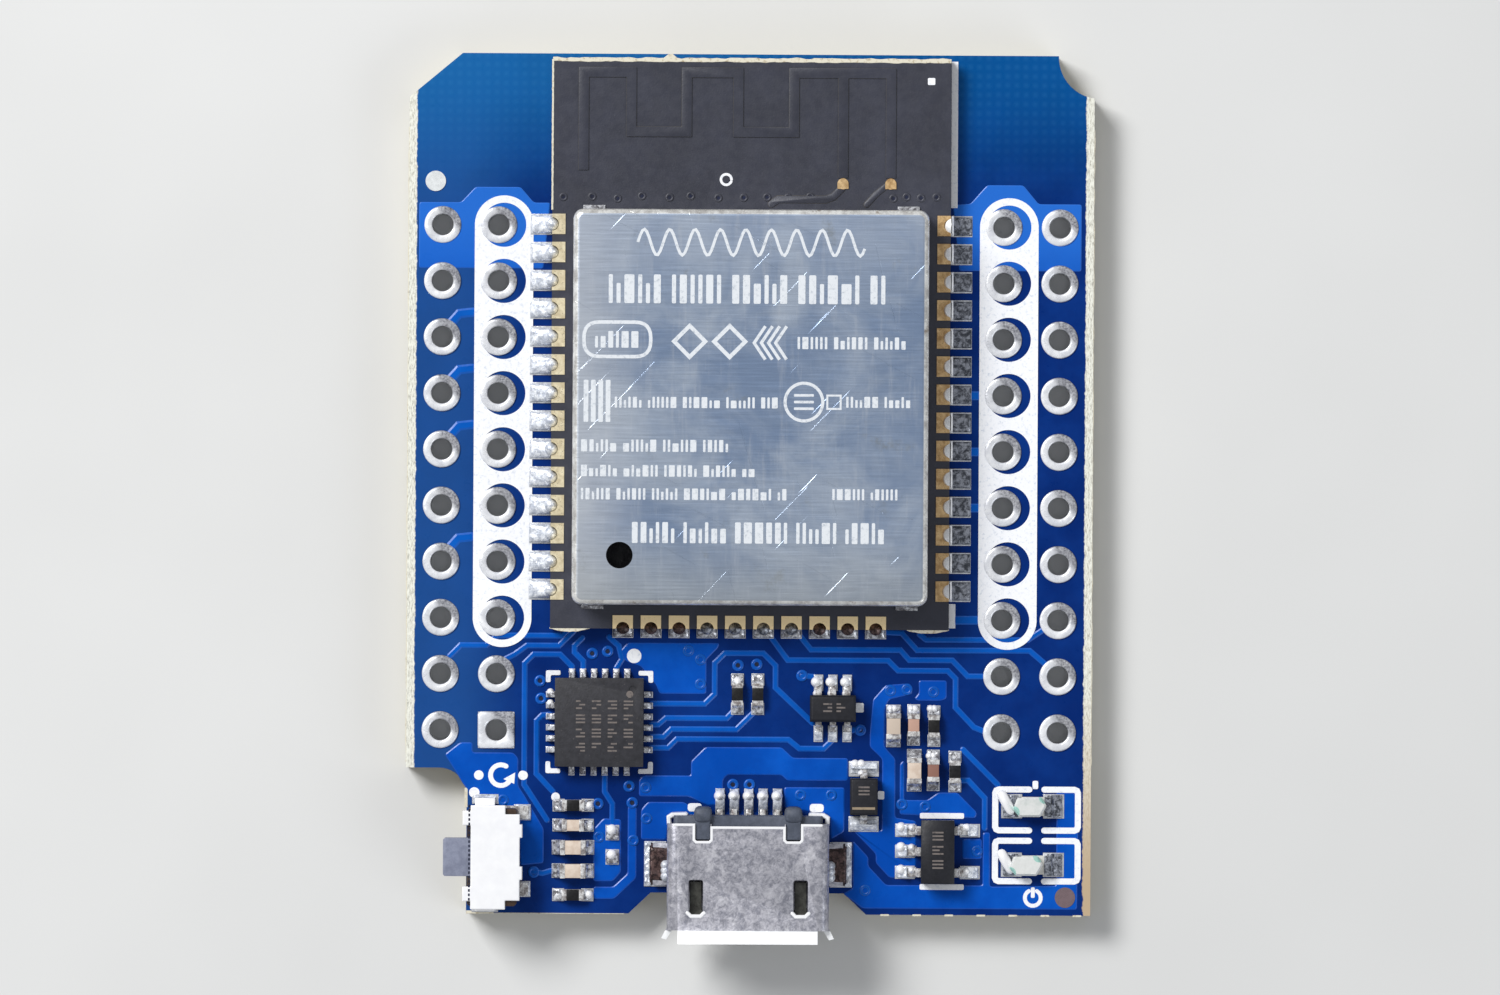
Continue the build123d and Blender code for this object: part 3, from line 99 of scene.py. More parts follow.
class Shape:
    """Corners and faces of one piece, gathered in millimetres before it becomes an object."""

    def __init__(self):
        self.corners = []
        self.faces = []

    def add(self, corners, faces):
        start = len(self.corners)
        self.corners += corners
        self.faces += [[start + index for index in face] for face in faces]

    def loft(self, rings, closed_round=False):
        """Joins rings of equal length with quads. The ends are capped, or joined to each other."""
        count = len(rings[0])
        levels = len(rings) - (not closed_round)
        faces = []
        for level in range(levels):
            low, high = level * count, (level + 1) % len(rings) * count
            for index in range(count):
                after = (index + 1) % count
                faces.append([low + index, low + after, high + after, high + index])
        if not closed_round:
            faces.append([*reversed(range(count))])
            faces.append([levels * count + index for index in range(count)])
        self.add([corner for ring in rings for corner in ring], faces)

    def plate(self, outline, low, high, slope=0.0, drop=0.0):
        """A flat plate between two heights. Its upper edge is drawn in by slope over the height drop."""
        outline = anticlockwise(outline)
        rings = [lifted(outline, low)]
        if slope:
            rings.append(lifted(outline, high - (drop or slope)))
        rings.append(lifted(inset(outline, slope) if slope else outline, high))
        self.loft(rings)

    def skirt(self, lower, low, upper, high):
        """The wall between two closed lines of equal length at two heights."""
        count = len(lower)
        turns = [(index, (index + 1) % count) for index in range(count)]
        self.add(lifted(lower, low) + lifted(upper, high), [[a, b, count + b, count + a] for a, b in turns])

    def pierced(self, outline, bores, low, high, slope=0.0):
        """A plate with holes. Its outer edge slopes in towards the top."""
        upper = inset(outline, slope)
        for ring, z in ((outline, low), (upper, high)):
            sheet = bmesh.new()
            edges = []
            for loop in [ring, *bores]:
                corners = [sheet.verts.new(corner) for corner in lifted(loop, z)]
                edges += [sheet.edges.new(ends) for ends in zip(corners, corners[1:] + corners[:1])]
            bmesh.ops.triangle_fill(sheet, edges=edges, use_beauty=True)
            self.take(sheet)
        self.skirt(outline, low, upper, high)
        for bore in bores:
            self.skirt(bore, low, bore, high)

    def take(self, sheet):
        """Adds all of a bmesh, and frees it."""
        sheet.verts.index_update()
        self.add([tuple(v.co) for v in sheet.verts], [[v.index for v in f.verts] for f in sheet.faces])
        sheet.free()

    def washer(self, centre, inner, outer, low, high, crown, count):
        """A ring with a crowned top."""
        middle = (inner + outer) / 2
        section = [(outer, low), (outer, high - crown), (middle, high), (inner, high - crown), (inner, low)]
        self.loft([lifted(circle(centre, radius, count), z) for radius, z in section], closed_round=True)

    def dome(self, centre, radius, low, height, levels=5, power=2.0):
        """A rounded heap standing on a disc."""
        shares = [level / levels for level in range(levels)]
        section = [(radius * (1 - share**power) ** (1 / power), height * share) for share in shares]
        section.append((radius * 0.12, height))
        self.loft([lifted(circle(centre, reach, 20), low + rise) for reach, rise in section])

    def patch(self, x_range, y_range, low, height, steps):
        """A closed heap over a rectangle. height(u, v) gives its top for u and v from 0 to 1."""
        left, right = x_range
        rings = []
        for v in spread(0, 1, steps[1]):
            y = y_range[0] + (y_range[1] - y_range[0]) * v
            across = spread(0, 1, steps[0])
            ring = [(left + (right - left) * u, y, low + max(height(u, v), 0.004)) for u in across]
            rings.append([(left, y, low), *ring, (right, y, low)])
        self.loft(rings)


def spread(low, high, steps):
    """Evenly spaced values from low to high, both included."""
    return [low + (high - low) * index / steps for index in range(steps + 1)]


def polar(centre, radius, angle):
    return (centre[0] + radius * math.cos(angle), centre[1] + radius * math.sin(angle))


def circle(centre, radius, count=32):
    """Points of a circle, anticlockwise."""
    return [polar(centre, radius, angle) for angle in spread(0, math.tau, count)[:-1]]


def arc(centre, radius, start, end, count):
    """Points of an arc between two angles in degrees, both ends included."""
    return [polar(centre, radius, math.radians(turn)) for turn in spread(start, end, count - 1)]


def rectangle(x0, y0, x1, y1):
    return [(x0, y0), (x1, y0), (x1, y1), (x0, y1)]


def anticlockwise(outline):
    area = sum(a[0] * b[1] - b[0] * a[1] for a, b in zip(outline, outline[1:] + outline[:1]))
    return outline if area > 0 else outline[::-1]


def side_normal(a, b):
    """The unit normal to the right of the way from a to b."""
    along = Vector((b[0] - a[0], b[1] - a[1])).normalized()
    return Vector((along.y, -along.x))


def mitred(before, here, after, distance):
    """here, moved to the right of the path through it so that both sides move by distance."""
    first = side_normal(before, here)
    middle = (first + side_normal(here, after)).normalized()
    reach = distance / max(middle.dot(first), 0.4)
    return (here[0] + middle.x * reach, here[1] + middle.y * reach)


def inset(outline, distance):
    """An anticlockwise outline drawn in by distance."""
    return beside(outline + outline[:1], -distance)


def beside(path, distance):
    """A path moved to its right by distance. A path that ends where it starts stays closed."""
    if path[0] == path[-1]:
        line = [path[-2], *path[:-1], path[0]]
    else:
        ends = [(2 * end[0] - near[0], 2 * end[1] - near[1]) for near, end in (path[1::-1], path[-2:])]
        line = [ends[0], *path, ends[1]]
    return [mitred(*line[index : index + 3], distance) for index in range(len(line) - 2)]


def strip(path, width, round_ends=True):
    """The outline of a line of even width, anticlockwise, with round ends or square ones."""
    right, left = beside(path, width / 2), beside(path, -width / 2)
    if not round_ends:
        return right + left[::-1]
    caps = []
    for near, end in (path[-2:], path[1::-1]):
        normal = side_normal(near, end)
        heading = math.degrees(math.atan2(normal.y, normal.x))
        caps.append(arc(end, width / 2, heading, heading + 180, 7))
    return right[1:-1] + caps[0] + left[-2:0:-1] + caps[1]


def rounded(points, radius, steps=5):
    """A closed outline with its corners rounded."""
    result = []
    count = len(points)
    for index in range(count):
        before, here, after = (Vector(points[(index + k) % count]) for k in (-1, 0, 1))
        into, out = here - before, after - here
        reach = min(radius, into.length * 0.49, out.length * 0.49)
        start = here - into.normalized() * reach
        end = here + out.normalized() * reach
        for step in range(steps + 1):
            t = step / steps
            spot = start * (1 - t) ** 2 + here * 2 * t * (1 - t) + end * t**2
            result.append((spot.x, spot.y))
    return result


def rough(seed, *place):
    """Smooth noise from -1 to 1 at a place."""
    x, y, z = (*place, 0, 0)[:3]
    return noise.noise(Vector((x + seed * 7.3, y - seed * 3.1, z + seed)))


# ------------------------------------------------ shapes and CAD meshes as objects


def opened(mesh):
    """A mesh as a bmesh, its touching corners joined."""
    work = bmesh.new()
    work.from_mesh(mesh)
    bmesh.ops.remove_doubles(work, verts=work.verts, dist=1e-7)
    return work


def enlist(name, mesh, material, body="board", replaces=()):
    """Makes a mesh an object with a material, on a body."""
    thing = bpy.data.objects.new(name, mesh)
    bpy.context.scene.collection.objects.link(thing)
    mesh.materials.clear()
    mesh.materials.append(MATERIALS[material])
    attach(thing, body)
    if replaces:
        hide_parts(replaces)
    return thing


def piece(name, shape, material, smooth=False, replaces=()):
    """Makes a shape an object that rides on the board."""
    mesh = bpy.data.meshes.new(name)
    mesh.from_pydata([Vector(corner) * MM for corner in shape.corners], [], shape.faces)
    mesh.validate()
    work = opened(mesh)
    bmesh.ops.dissolve_degenerate(work, edges=work.edges, dist=1e-8)
    bmesh.ops.recalc_face_normals(work, faces=work.faces)
    work.to_mesh(mesh)
    work.free()
    mesh.polygons.foreach_set("use_smooth", [smooth] * len(mesh.polygons))
    return enlist(name, mesh, material, replaces=replaces)


SHARP = math.radians(35)
SMOOTH = math.radians(32)


def finished_copy(node, name, material, bevel, slot="", body="board"):
    """A copy of a CAD node's shape with its sharp edges broken, standing for the node."""
    mesh = frame["nodes"][node].data.copy()
    mesh.name = name
    if "custom_normal" in mesh.attributes:
        mesh.attributes.remove(mesh.attributes["custom_normal"])
    work = opened(mesh)
    bmesh.ops.dissolve_limit(work, angle_limit=math.radians(1), verts=work.verts, edges=work.edges)
    bmesh.ops.recalc_face_normals(work, faces=work.faces)
    if bevel:
        sharp = [e for e in work.edges if len(e.link_faces) == 2 and e.calc_face_angle() > SHARP]
        size = {"offset": bevel * MM, "segments": 2, "profile": 0.6, "clamp_overlap": True}
        bmesh.ops.bevel(work, geom=sharp, affect="EDGES", **size)
    for face in work.faces:
        face.smooth = True
    for edge in work.edges:
        edge.smooth = len(edge.link_faces) == 2 and edge.calc_face_angle() < SMOOTH
    work.to_mesh(mesh)
    work.free()
    return enlist(name, mesh, material, body, node)


def add_modifier(thing, kind, **settings):
    modifier = thing.modifiers.new(kind.title(), kind)
    for key, value in settings.items():
        setattr(modifier, key, value)


def melted_copy(node, name, material, voxel, rounds, bumps):
    """A copy of a CAD node's solder, remeshed, smoothed and lumpy like metal that has flowed and set."""
    thing = finished_copy(node, name, material, 0, "solder")
    add_modifier(thing, "REMESH", mode="VOXEL", voxel_size=voxel * MM, use_smooth_shade=True)
    add_modifier(thing, "SMOOTH", factor=0.6, iterations=rounds)
    lumps = bpy.data.textures.new(name + "_lumps", "CLOUDS")
    lumps.noise_scale = 0.25 * MM
    lumps.noise_depth = 1
    strength = bumps * MM
    add_modifier(thing, "DISPLACE", texture=lumps, texture_coords="LOCAL", strength=strength, mid_level=0.45)


# ------------------------------------------------ materials


def tint(red, green, blue):
    """A screen colour, 0 to 255 a channel, as the linear colour that nodes take."""
    linear = [((c / 255 + 0.055) / 1.055) ** 2.4 if c > 10 else c / 255 / 12.92 for c in (red, green, blue)]
    return (*linear, 1.0)


class Paint:
    """The nodes of one material. Its coordinates are millimetres in the board's frame."""

    def __init__(self, name, **inputs):
        self.material = bpy.data.materials.new(name + "_look")
        self.material.use_nodes = True
        self.tree = self.material.node_tree
        self.place = self.scaled(self.node("TexCoord")["Object"], (1 / MM, 1 / MM, 1 / MM))
        self.normal = None
        self.colour = None
        for key, value in inputs.items():
            self.set(key.replace("_", " ").title().replace("Ior", "IOR"), value)

    def feed(self, node, inputs):
        """Gives inputs of a node a value or another node's output."""
        for key, value in inputs.items():
            if isinstance(value, bpy.types.NodeSocket):
                self.tree.links.new(value, node.inputs[key])
            else:
                node.inputs[key].default_value = value

    def node(self, kind, inputs={}, **settings):
        """Makes a node, and returns its outputs."""
        made = self.tree.nodes.new("ShaderNode" + kind)
        for key, value in settings.items():
            setattr(made, key, value)
        self.feed(made, inputs)
        return made.outputs

    def set(self, name, value):
        self.feed(self.tree.nodes["Principled BSDF"], {name: value})

    def finish(self, gloss=None, grain=None):
        """Sets the colour. gloss is low, high and a noise for roughness; grain is a depth and a noise."""
        self.set("Base Color", self.colour)
        if gloss:
            self.set("Roughness", self.step(self.noise(*gloss[2:]), 0.3, 0.7, *gloss[:2]))
        if grain:
            self.bump(self.noise(*grain[1:]), grain[0])
        return self.material

    def scaled(self, vector, by):
        return self.node("VectorMath", {0: vector, 1: by}, operation="MULTIPLY")[0]

    def axis(self, name, vector=None):
        return self.node("SeparateXYZ", {0: vector or self.place})[name]

    def facing(self):
        """How far the surface faces up, from -1 to 1."""
        return self.axis("Z", self.node("NewGeometry")["Normal"])

    def within_pitch(self, name):
        """Place along an axis inside one hole pitch, from 0 to 1. Each header hole is at 0.5."""
        return self.maths("FRACT", self.maths("DIVIDE", self.axis(name), HOLE_PITCH))

    def near(self, spot, radius):
        """1 close to a spot on the board, falling to 0 at radius."""
        flat = self.scaled(self.place, (1, 1, 0))
        away = self.node("VectorMath", {0: flat, 1: (*spot, 0)}, operation="DISTANCE")["Value"]
        return self.step(away, radius, radius * 0.9)

    def maths(self, operation, a, b=0.0):
        return self.node("Math", {0: a, 1: b}, operation=operation)[0]

    def times(self, a, b):
        return self.maths("MULTIPLY", a, b)

    def noise(self, size, detail=3.0, roughness=0.55, shift=0, distortion=0, stretch=(1, 1, 1), place=None):
        """Noise from 0 to 1 with features about size mm across."""
        inputs = {"Vector": self.scaled(place or self.place, stretch), "W": shift, "Scale": 1 / size}
        inputs |= {"Detail": detail, "Roughness": roughness, "Distortion": distortion}
        return self.node("TexNoise", inputs, noise_dimensions="4D")["Fac"]

    def weave(self, pitch, direction):
        inputs = {"Vector": self.place, "Scale": math.pi / 10 / pitch, "Distortion": 0.6}
        return self.node("TexWave", inputs, bands_direction=direction)["Fac"]

    def step(self, value, low, high, floor=0.0, ceiling=1.0):
        """value from low to high, spread smoothly from floor to ceiling."""
        inputs = {"Value": value, "From Min": low, "From Max": high, "To Min": floor, "To Max": ceiling}
        return self.node("MapRange", inputs, interpolation_type="SMOOTHSTEP")["Result"]

    def patches(self, low, high, *kind, **more):
        """Noise sharpened into patches: 0 where it is under low, 1 where it is over high."""
        return self.step(self.noise(*kind, **more), low, high)

    def mix(self, share, a, b):
        """Colour a, going to b as share goes to 1. A colour is a socket or a screen colour."""
        a, b = (c if isinstance(c, bpy.types.NodeSocket) else tint(*c) for c in (a, b))
        return self.node("Mix", {0: share, 6: a, 7: b}, data_type="RGBA")[2]

    def base(self, dark, light, *pattern, **more):
        """The first colour: patches of light on dark."""
        self.colour = self.mix(self.patches(*pattern, **more), dark, light)

    def cover(self, share, colour, most=None):
        """Lays a colour over the colour so far as share goes to 1, at most as strongly as most."""
        share = share if most is None else self.times(share, most)
        self.colour = self.mix(share, self.colour, colour)

    def bump(self, height, depth):
        """Adds relief: height from 0 to 1 over a depth in mm."""
        inputs = {"Height": height, "Distance": depth * MM}
        if self.normal:
            inputs["Normal"] = self.normal
        self.normal = self.node("Bump", inputs)[0]
        self.set("Normal", self.normal)


def laminate_sides(paint, bare):
    """Leaves the colour on the faces, and shows layered fibres of bare laminate on the edges."""
    fibres = paint.noise(0.09, 4, stretch=(1, 1, 4))
    fibre_colour = paint.mix(fibres, [c * 0.72 for c in bare], bare)
    paint.cover(paint.step(paint.maths("ABSOLUTE", paint.facing()), 0.75, 0.45), fibre_colour)


def finish_mask(paint):
    """Gloss and fine relief of the blue mask. Its sloping edges catch the light."""
    paint.set("Specular IOR Level", paint.step(paint.facing(), 0.99, 0.96, 0.08, 0.42))
    paint.bump(paint.noise(0.14, 3, 0.6), 0.006)
    return paint.finish((0.26, 0.4, 0.5, 4), (0.01, 1.4, 2))


def blue_mask(name, dark, light, painted_light=(0, 0, 0), painted_light_from=(30, 40)):
    """Blue solder mask over copper, made lighter towards the antenna end by painted light."""
    paint = Paint(name)
    paint.base(dark, light, 0.35, 0.7, 2.6, 4, 0.6)
    # painted light: the mask goes lighter towards the antenna end
    paint.cover(paint.step(paint.axis("Y"), *painted_light_from), painted_light)
    return finish_mask(paint)


def laminate_mask(name):
    """Blue mask on bare laminate, made lighter by painted light towards the left edge and towards the
    antenna end, with the glass weave showing at the antenna end and pale broken edges.
    """
    paint = Paint(name)
    x, y = paint.axis("X"), paint.axis("Y")
    paint.base((3, 38, 106), (8, 50, 124), 0.35, 0.7, 2.6, 4, 0.6)
    # painted light: the bare mask goes lighter towards the left edge
    paint.cover(paint.step(x, -9.5, -13.5), (40, 92, 156), 0.5)
    # painted light: the bare mask goes lighter towards the antenna end, more so at its left
    north = paint.step(y, 11.5, 19.0)
    paint.cover(north, paint.mix(paint.step(x, -6, 8), (22, 100, 164), (4, 84, 148)), 0.8)
    threads = paint.times(paint.weave(0.42, "X"), paint.weave(0.42, "Y"))
    paint.cover(paint.times(threads, north), (70, 150, 205), 0.07)
    ragged = paint.times(paint.maths("SUBTRACT", paint.noise(0.35, 5, 0.7), 0.5), 0.22)
    inland = paint.maths("SUBTRACT", paint.maths("ABSOLUTE", x), BOARD_HIGH.x - 0.36)
    edge = paint.step(paint.maths("ADD", inland, ragged), -0.025, 0.03)
    fibre = paint.patches(0.3, 0.58, 0.16, 5, 0.75, stretch=(2.5, 0.6, 1))
    pale = paint.mix(fibre, (150, 146, 132), (238, 238, 226))
    stained = paint.times(paint.step(y, -8, -19), paint.step(x, 0, 10))
    pale = paint.mix(stained, pale, (190, 168, 138))
    paint.cover(paint.times(edge, paint.step(paint.facing(), 0.4, 0.6)), pale)
    laminate_sides(paint, (206, 196, 160))
    return finish_mask(paint)


def black_mask(name, dark, light):
    """Satin black-grey mask of the module board."""
    paint = Paint(name, specular_ior_level=0.5)
    paint.base(dark, light, 0.3, 0.7, 1.8, 4, 0.6)
    paint.cover(paint.patches(0.72, 0.8, 0.05, 2), (150, 150, 156), 0.25)
    laminate_sides(paint, (120, 112, 92))
    return paint.finish((0.36, 0.52, 0.3, 4), (0.008, 0.09, 3, 0.65))


def metal(name, bright, dull, metallic, roughness=(0.2, 0.4), size=0.5, relief=0.01, contrast=0.2, spots=()):
    """Plated or polished metal that wanders between bright and dull. A spot can have its own colour."""
    paint = Paint(name, metallic=metallic)
    paint.base(dull, bright, 0.5 - contrast, 0.5 + contrast, size, 5, 0.65, distortion=0.4)
    for spot, radius, own in spots:
        paint.cover(paint.near(spot, radius), own)
    return paint.finish((*roughness, size * 0.35, 4, 0.6, 3.0), (relief, size * 0.5, 4, 0.6, 5.0))


def shell_metal(name):
    """Matt mottled sheet of the USB socket, its lip at the mouth painted near-white and less metallic as a
    highlight.
    """
    paint = Paint(name)
    paint.base((132, 133, 144), (196, 195, 202), 0.36, 0.64, 0.3, 6, 0.8, distortion=0.6)
    paint.cover(paint.patches(0.52, 0.66, 0.9, 5, 0.7, distortion=0.8, shift=4.0), (216, 215, 220), 0.6)
    # painted highlight: the lip at the mouth turns near-white and less metallic
    lip = paint.step(paint.axis("Y"), LIP_Y + 0.02, LIP_Y - 0.05)
    paint.cover(lip, (253, 254, 254))
    paint.set("Metallic", paint.step(lip, 0, 1, 0.55, 0.12))
    return paint.finish((0.34, 0.52, 0.2, 4, 0.6, 3.0), (0.016, 0.2, 4, 0.6, 5.0))


def ring_metal(name):
    """Tinning round the header holes: white, with painted shade greying a patchy sector at its upper right.
    """
    paint = Paint(name, metallic=0.3)
    paint.base((222, 224, 230), (252, 253, 255), 0.3, 0.7, 0.5, 5, 0.65, distortion=0.4)
    # painted shade: the upper right of each ring, where its crown faces away from the light, is greyed in
    # patches
    sector = paint.maths("ADD", paint.within_pitch("X"), paint.within_pitch("Y"))
    patchy_shade = paint.step(paint.noise(0.1, 4, 0.7), 0.3, 0.7, 0.3, 0.95)
    paint.cover(paint.times(paint.step(sector, 1.08, 1.3), patchy_shade), (72, 72, 84))
    return paint.finish((0.2, 0.42, 0.2, 4), (0.02, 0.25, 4, 0.6, 5.0))


def gold_metal(name):
    """Gold plate of the module's pads, paler on the left, and paler and less metallic at the lower end as
    painted light.
    """
    paint = Paint(name)
    patches = paint.patches(0.3, 0.7, 0.3, 5, 0.65, distortion=0.4)
    left = paint.mix(patches, (208, 192, 156), (246, 234, 200))
    right = paint.mix(patches, (170, 132, 84), (236, 200, 146))
    paint.colour = paint.mix(paint.step(paint.axis("X"), -4, 6), left, right)
    y = paint.axis("Y")
    # painted light: the lower end, in the can's shadow, is made paler and less metallic
    paint.cover(paint.step(y, -5.7, -6.1), (255, 228, 176))
    paint.set("Metallic", paint.step(y, -5.7, -6.1, 0.4, 0.1))
    return paint.finish((0.25, 0.45, 0.12, 4), (0.012, 0.15, 4, 0.6, 5.0))


def solder_metal(name, bright, dull, speckle, metallic):
    """Set solder: bright, with grainy grey patches and patches of flux stain."""
    paint = Paint(name, metallic=metallic)
    paint.base(dull, bright, 0.4, 0.62, 0.22, 5, 0.7, distortion=0.6)
    paint.cover(paint.patches(0.62, 0.74, 0.1, 3, 0.6, shift=8.0), (62, 48, 40), speckle)
    return paint.finish((0.18, 0.42, 0.15, 4, 0.55, 2.0), (0.02, 0.12, 4, 0.65))


def can_metal(name):
    """Tinned sheet of the shield can: rolled grain, streaks, scratches and stains, painted light that makes
    it lighter at the left and the upper end, and rounded edges painted pale as a highlight, with brown
    stains.
    """
    paint = Paint(name)
    x, y = paint.axis("X"), paint.axis("Y")
    paint.base((146, 167, 198), (196, 209, 226), 0.34, 0.68, 4.5, 5, 0.6, distortion=0.8)
    # painted light: the lid goes lighter towards the left
    paint.cover(paint.step(x, -4, -8, 0, 0.6), (240, 244, 248))
    # greyer towards the lower end
    paint.cover(paint.step(y, -2, -6, 0, 0.5), (202, 204, 198))
    # painted light: the lid goes lighter and bluer towards the upper end
    paint.cover(paint.step(y, 8, 12, 0, 0.35), (214, 226, 244))
    paint.cover(paint.patches(0.5, 0.78, 0.9, 5, 0.7, 9.0, stretch=(2.4, 0.22, 1)), (226, 232, 240), 0.4)
    paint.cover(paint.patches(0.6, 0.75, 2.2, 5, 0.7, shift=4.0), (150, 150, 138), 0.5)
    paint.cover(paint.patches(0.7, 0.78, 0.16, 3, 0.6, shift=6.0), (96, 92, 84), 0.5)
    # painted highlight: the rounded edges get a pale patchy colour and less metal, with brown stain patches
    rim = paint.step(paint.facing(), 0.985, 0.93)
    rim_highlight = paint.mix(paint.patches(0.35, 0.65, 0.5, 5, 0.7, shift=7.0), (186, 184, 180), (240, 240, 236))
    brown = paint.step(paint.noise(0.7, 4, 0.7, shift=11.0), 0.6, 0.72, 0, 0.7)
    paint.cover(rim, paint.mix(brown, rim_highlight, (128, 108, 84)))
    paint.set("Metallic", paint.step(rim, 0, 1, 0.8, 0.5))
    rolled = paint.noise(0.3, 5, 0.7, stretch=(0.12, 3.5, 1))
    paint.set("Roughness", paint.step(rolled, 0.25, 0.75, 0.24, 0.42))
    paint.bump(rolled, 0.006)
    for angle, shift in ((0.5, 1.0), (-0.8, 2.0), (1.3, 3.0)):
        inputs = {"Vector": paint.place, "Angle": angle}
        turned = paint.node("VectorRotate", inputs, rotation_type="Z_AXIS")[0]
        scratch = paint.patches(0.7, 0.735, 1 / 1.2, 2, 0.5, shift, stretch=(0.12, 6.0, 1), place=turned)
        paint.bump(paint.maths("SUBTRACT", 1.0, scratch), 0.008)
    return paint.finish()


def plastic(name, colour, darker, speck=None, roughness=(0.45, 0.6)):
    """Moulded plastic or compound: a fine matt grain, a little uneven in colour."""
    paint = Paint(name, specular_ior_level=0.4)
    paint.base(darker, colour, 0.32, 0.68, 0.32, 5, 0.7)
    if speck:
        paint.cover(paint.patches(0.66, 0.74, 0.064, 2, shift=3.0), speck, 0.5)
    return paint.finish((*roughness, 0.16, 3, 0.55, 1.0), (0.01, 0.08, 4, 0.6))


def ceramic(name, colour, darker, spots=()):
    """Fired ceramic of chip parts, slightly banded where it was pressed. A part can have its own colour."""
    paint = Paint(name, specular_ior_level=0.5)
    paint.base(darker, colour, 0.3, 0.7, 0.25, 3, 0.5, stretch=(1, 1, 3))
    for spot, radius, own in spots:
        paint.cover(paint.near(spot, radius), own)
    return paint.finish((0.3, 0.5, 0.1, 3), (0.005, 0.06, 3))


def ink(name, colour, worn):
    """Printed ink, thin and slightly broken up."""
    paint = Paint(name, specular_ior_level=0.35)
    paint.base(worn, colour, 0.28, 0.5, 0.18, 5, 0.7)
    return paint.finish((0.42, 0.6, 0.2, 3), (0.008, 0.1, 4, 0.7))


def lens_resin(name):
    """Milky resin of the lamps, with green-blue corners."""
    paint = Paint(name, specular_ior_level=0.5, subsurface_weight=0.35, coat_weight=0.3)
    paint.set("Subsurface Radius", (0.0004, 0.0004, 0.0004))
    paint.base((222, 223, 220), (200, 206, 202), 0.45, 0.75, 0.55, 3, 0.6)
    for spot in ((13.4, -14.35), (12.0, -15.0), (11.85, -17.75), (13.15, -17.0)):
        paint.cover(paint.near(spot, 0.28), (112, 196, 178), 0.65)
    return paint.finish((0.28, 0.45, 0.15, 3), (0.02, 0.2, 3))


def floor_paint(name):
    paint = Paint(name, specular_ior_level=0.2)
    paint.base((214, 214, 212), (220, 220, 218), 0.3, 0.7, 30, 3)
    paint.set("Roughness", 0.8)
    return paint.finish()


CAP_SPOTS = (
    ((6.55, -11.15), 0.5, (200, 184, 168)),
    ((7.46, -11.1), 0.5, (190, 152, 134)),
    ((8.36, -13.15), 0.56, (142, 102, 88)),
)
DARK_PADS = (((-14.3, 13.4), 1.0, (252, 255, 255)), ((14.35, -18.88), 1.0, (138, 118, 122)))

LOOKS = {
    "blue_laminate": (laminate_mask,),
    "copper_mask": (blue_mask, (2, 80, 172), (10, 92, 188)),
    "pour_mask": (blue_mask, (2, 72, 170), (9, 88, 192), (38, 106, 202), (7, 12)),
    "tinned_copper": (metal, (240, 242, 244), (186, 188, 194), 0.55, (0.2, 0.4), 0.4, 0.02),
    "fiducial_tin": (metal, (200, 200, 204), (150, 146, 150), 0.5, (0.2, 0.4), 0.5, 0.01, 0.2, DARK_PADS),
    "black_laminate": (black_mask, (48.16, 49.88, 60.2), (56, 58, 70)),
    "gold_plate": (gold_metal,),
    "solder": (solder_metal, (240, 242, 246), (118, 116, 120), 0.4, 0.5),
    "bright_solder": (solder_metal, (248, 251, 255), (184, 190, 202), 0.2, 0.3),
    "speckled_solder": (solder_metal, (170, 174, 184), (66, 70, 78), 0.3, 0.45),
    "stained_solder": (solder_metal, (104, 82, 78), (40, 27, 27), 0.6, 0.3),
    "tinned_sheet": (can_metal,),
    "tinned_leads": (metal, (250, 250, 248), (140, 132, 130), 0.45, (0.2, 0.42), 0.22, 0.012, 0.14),
    "hole_tinning": (ring_metal,),
    "stainless_shell": (shell_metal,),
    "shaded_steel": (metal, (88, 88, 82), (52, 52, 48), 0.5),
    # near-white and barely metallic: the switch cover's sheet, and painted highlights on the solder heaps,
    # half-discs, slanted lamp pads and the socket's rolled edges
    "bright_sheet": (metal, (255, 255, 255), (248, 248, 250), 0.15, (0.3, 0.42), 0.8, 0.006),
    "spring_steel": (metal, (206, 208, 212), (160, 162, 168), 1.0, (0.25, 0.4), 0.4),
    "mould_compound": (plastic, (52, 52, 57), (40, 40, 44), (104, 98, 96)),
    "dark_compound": (plastic, (27, 28, 35), (19, 20, 26), (70, 70, 78)),
    "black_plastic": (plastic, (86, 92, 106), (70, 76, 88)),
    "brown_plastic": (plastic, (70, 52, 40), (48, 36, 28)),
    # painted shade: the reset plunger is white plastic, greyed here as it sits low in the switch
    "grey_plastic": (plastic, (138, 143, 162), (118, 123, 142), None, (0.4, 0.55)),
    "via_shadow": (plastic, (14, 26, 60), (8, 14, 36)),
    "brown_ceramic": (ceramic, (150, 112, 96), (124, 88, 74)),
    "tan_ceramic": (ceramic, (222, 206, 190), (206, 186, 168), CAP_SPOTS),
    "white_ceramic": (ceramic, (226, 224, 218), (204, 202, 196)),
    "black_glaze": (ceramic, (14, 13, 14), (8, 7, 8)),
    "semiconductor": (ceramic, (66, 64, 88), (40, 38, 58)),
    "clear_resin": (lens_resin,),
    "white_ink": (ink, (246, 247, 250), (206, 214, 226)),
    "etched_tin": (ink, (222, 226, 230), (172, 180, 190)),
    "chip_print": (ink, (116, 108, 104), (62, 59, 61)),
    "bare_laminate": (ink, (222, 216, 196), (160, 140, 104)),
    "diode_band": (ink, (150, 134, 112), (104, 92, 78)),
    "floor": (floor_paint,),
}
MATERIALS = {name: look(name, *inputs) for name, (look, *inputs) in LOOKS.items()}

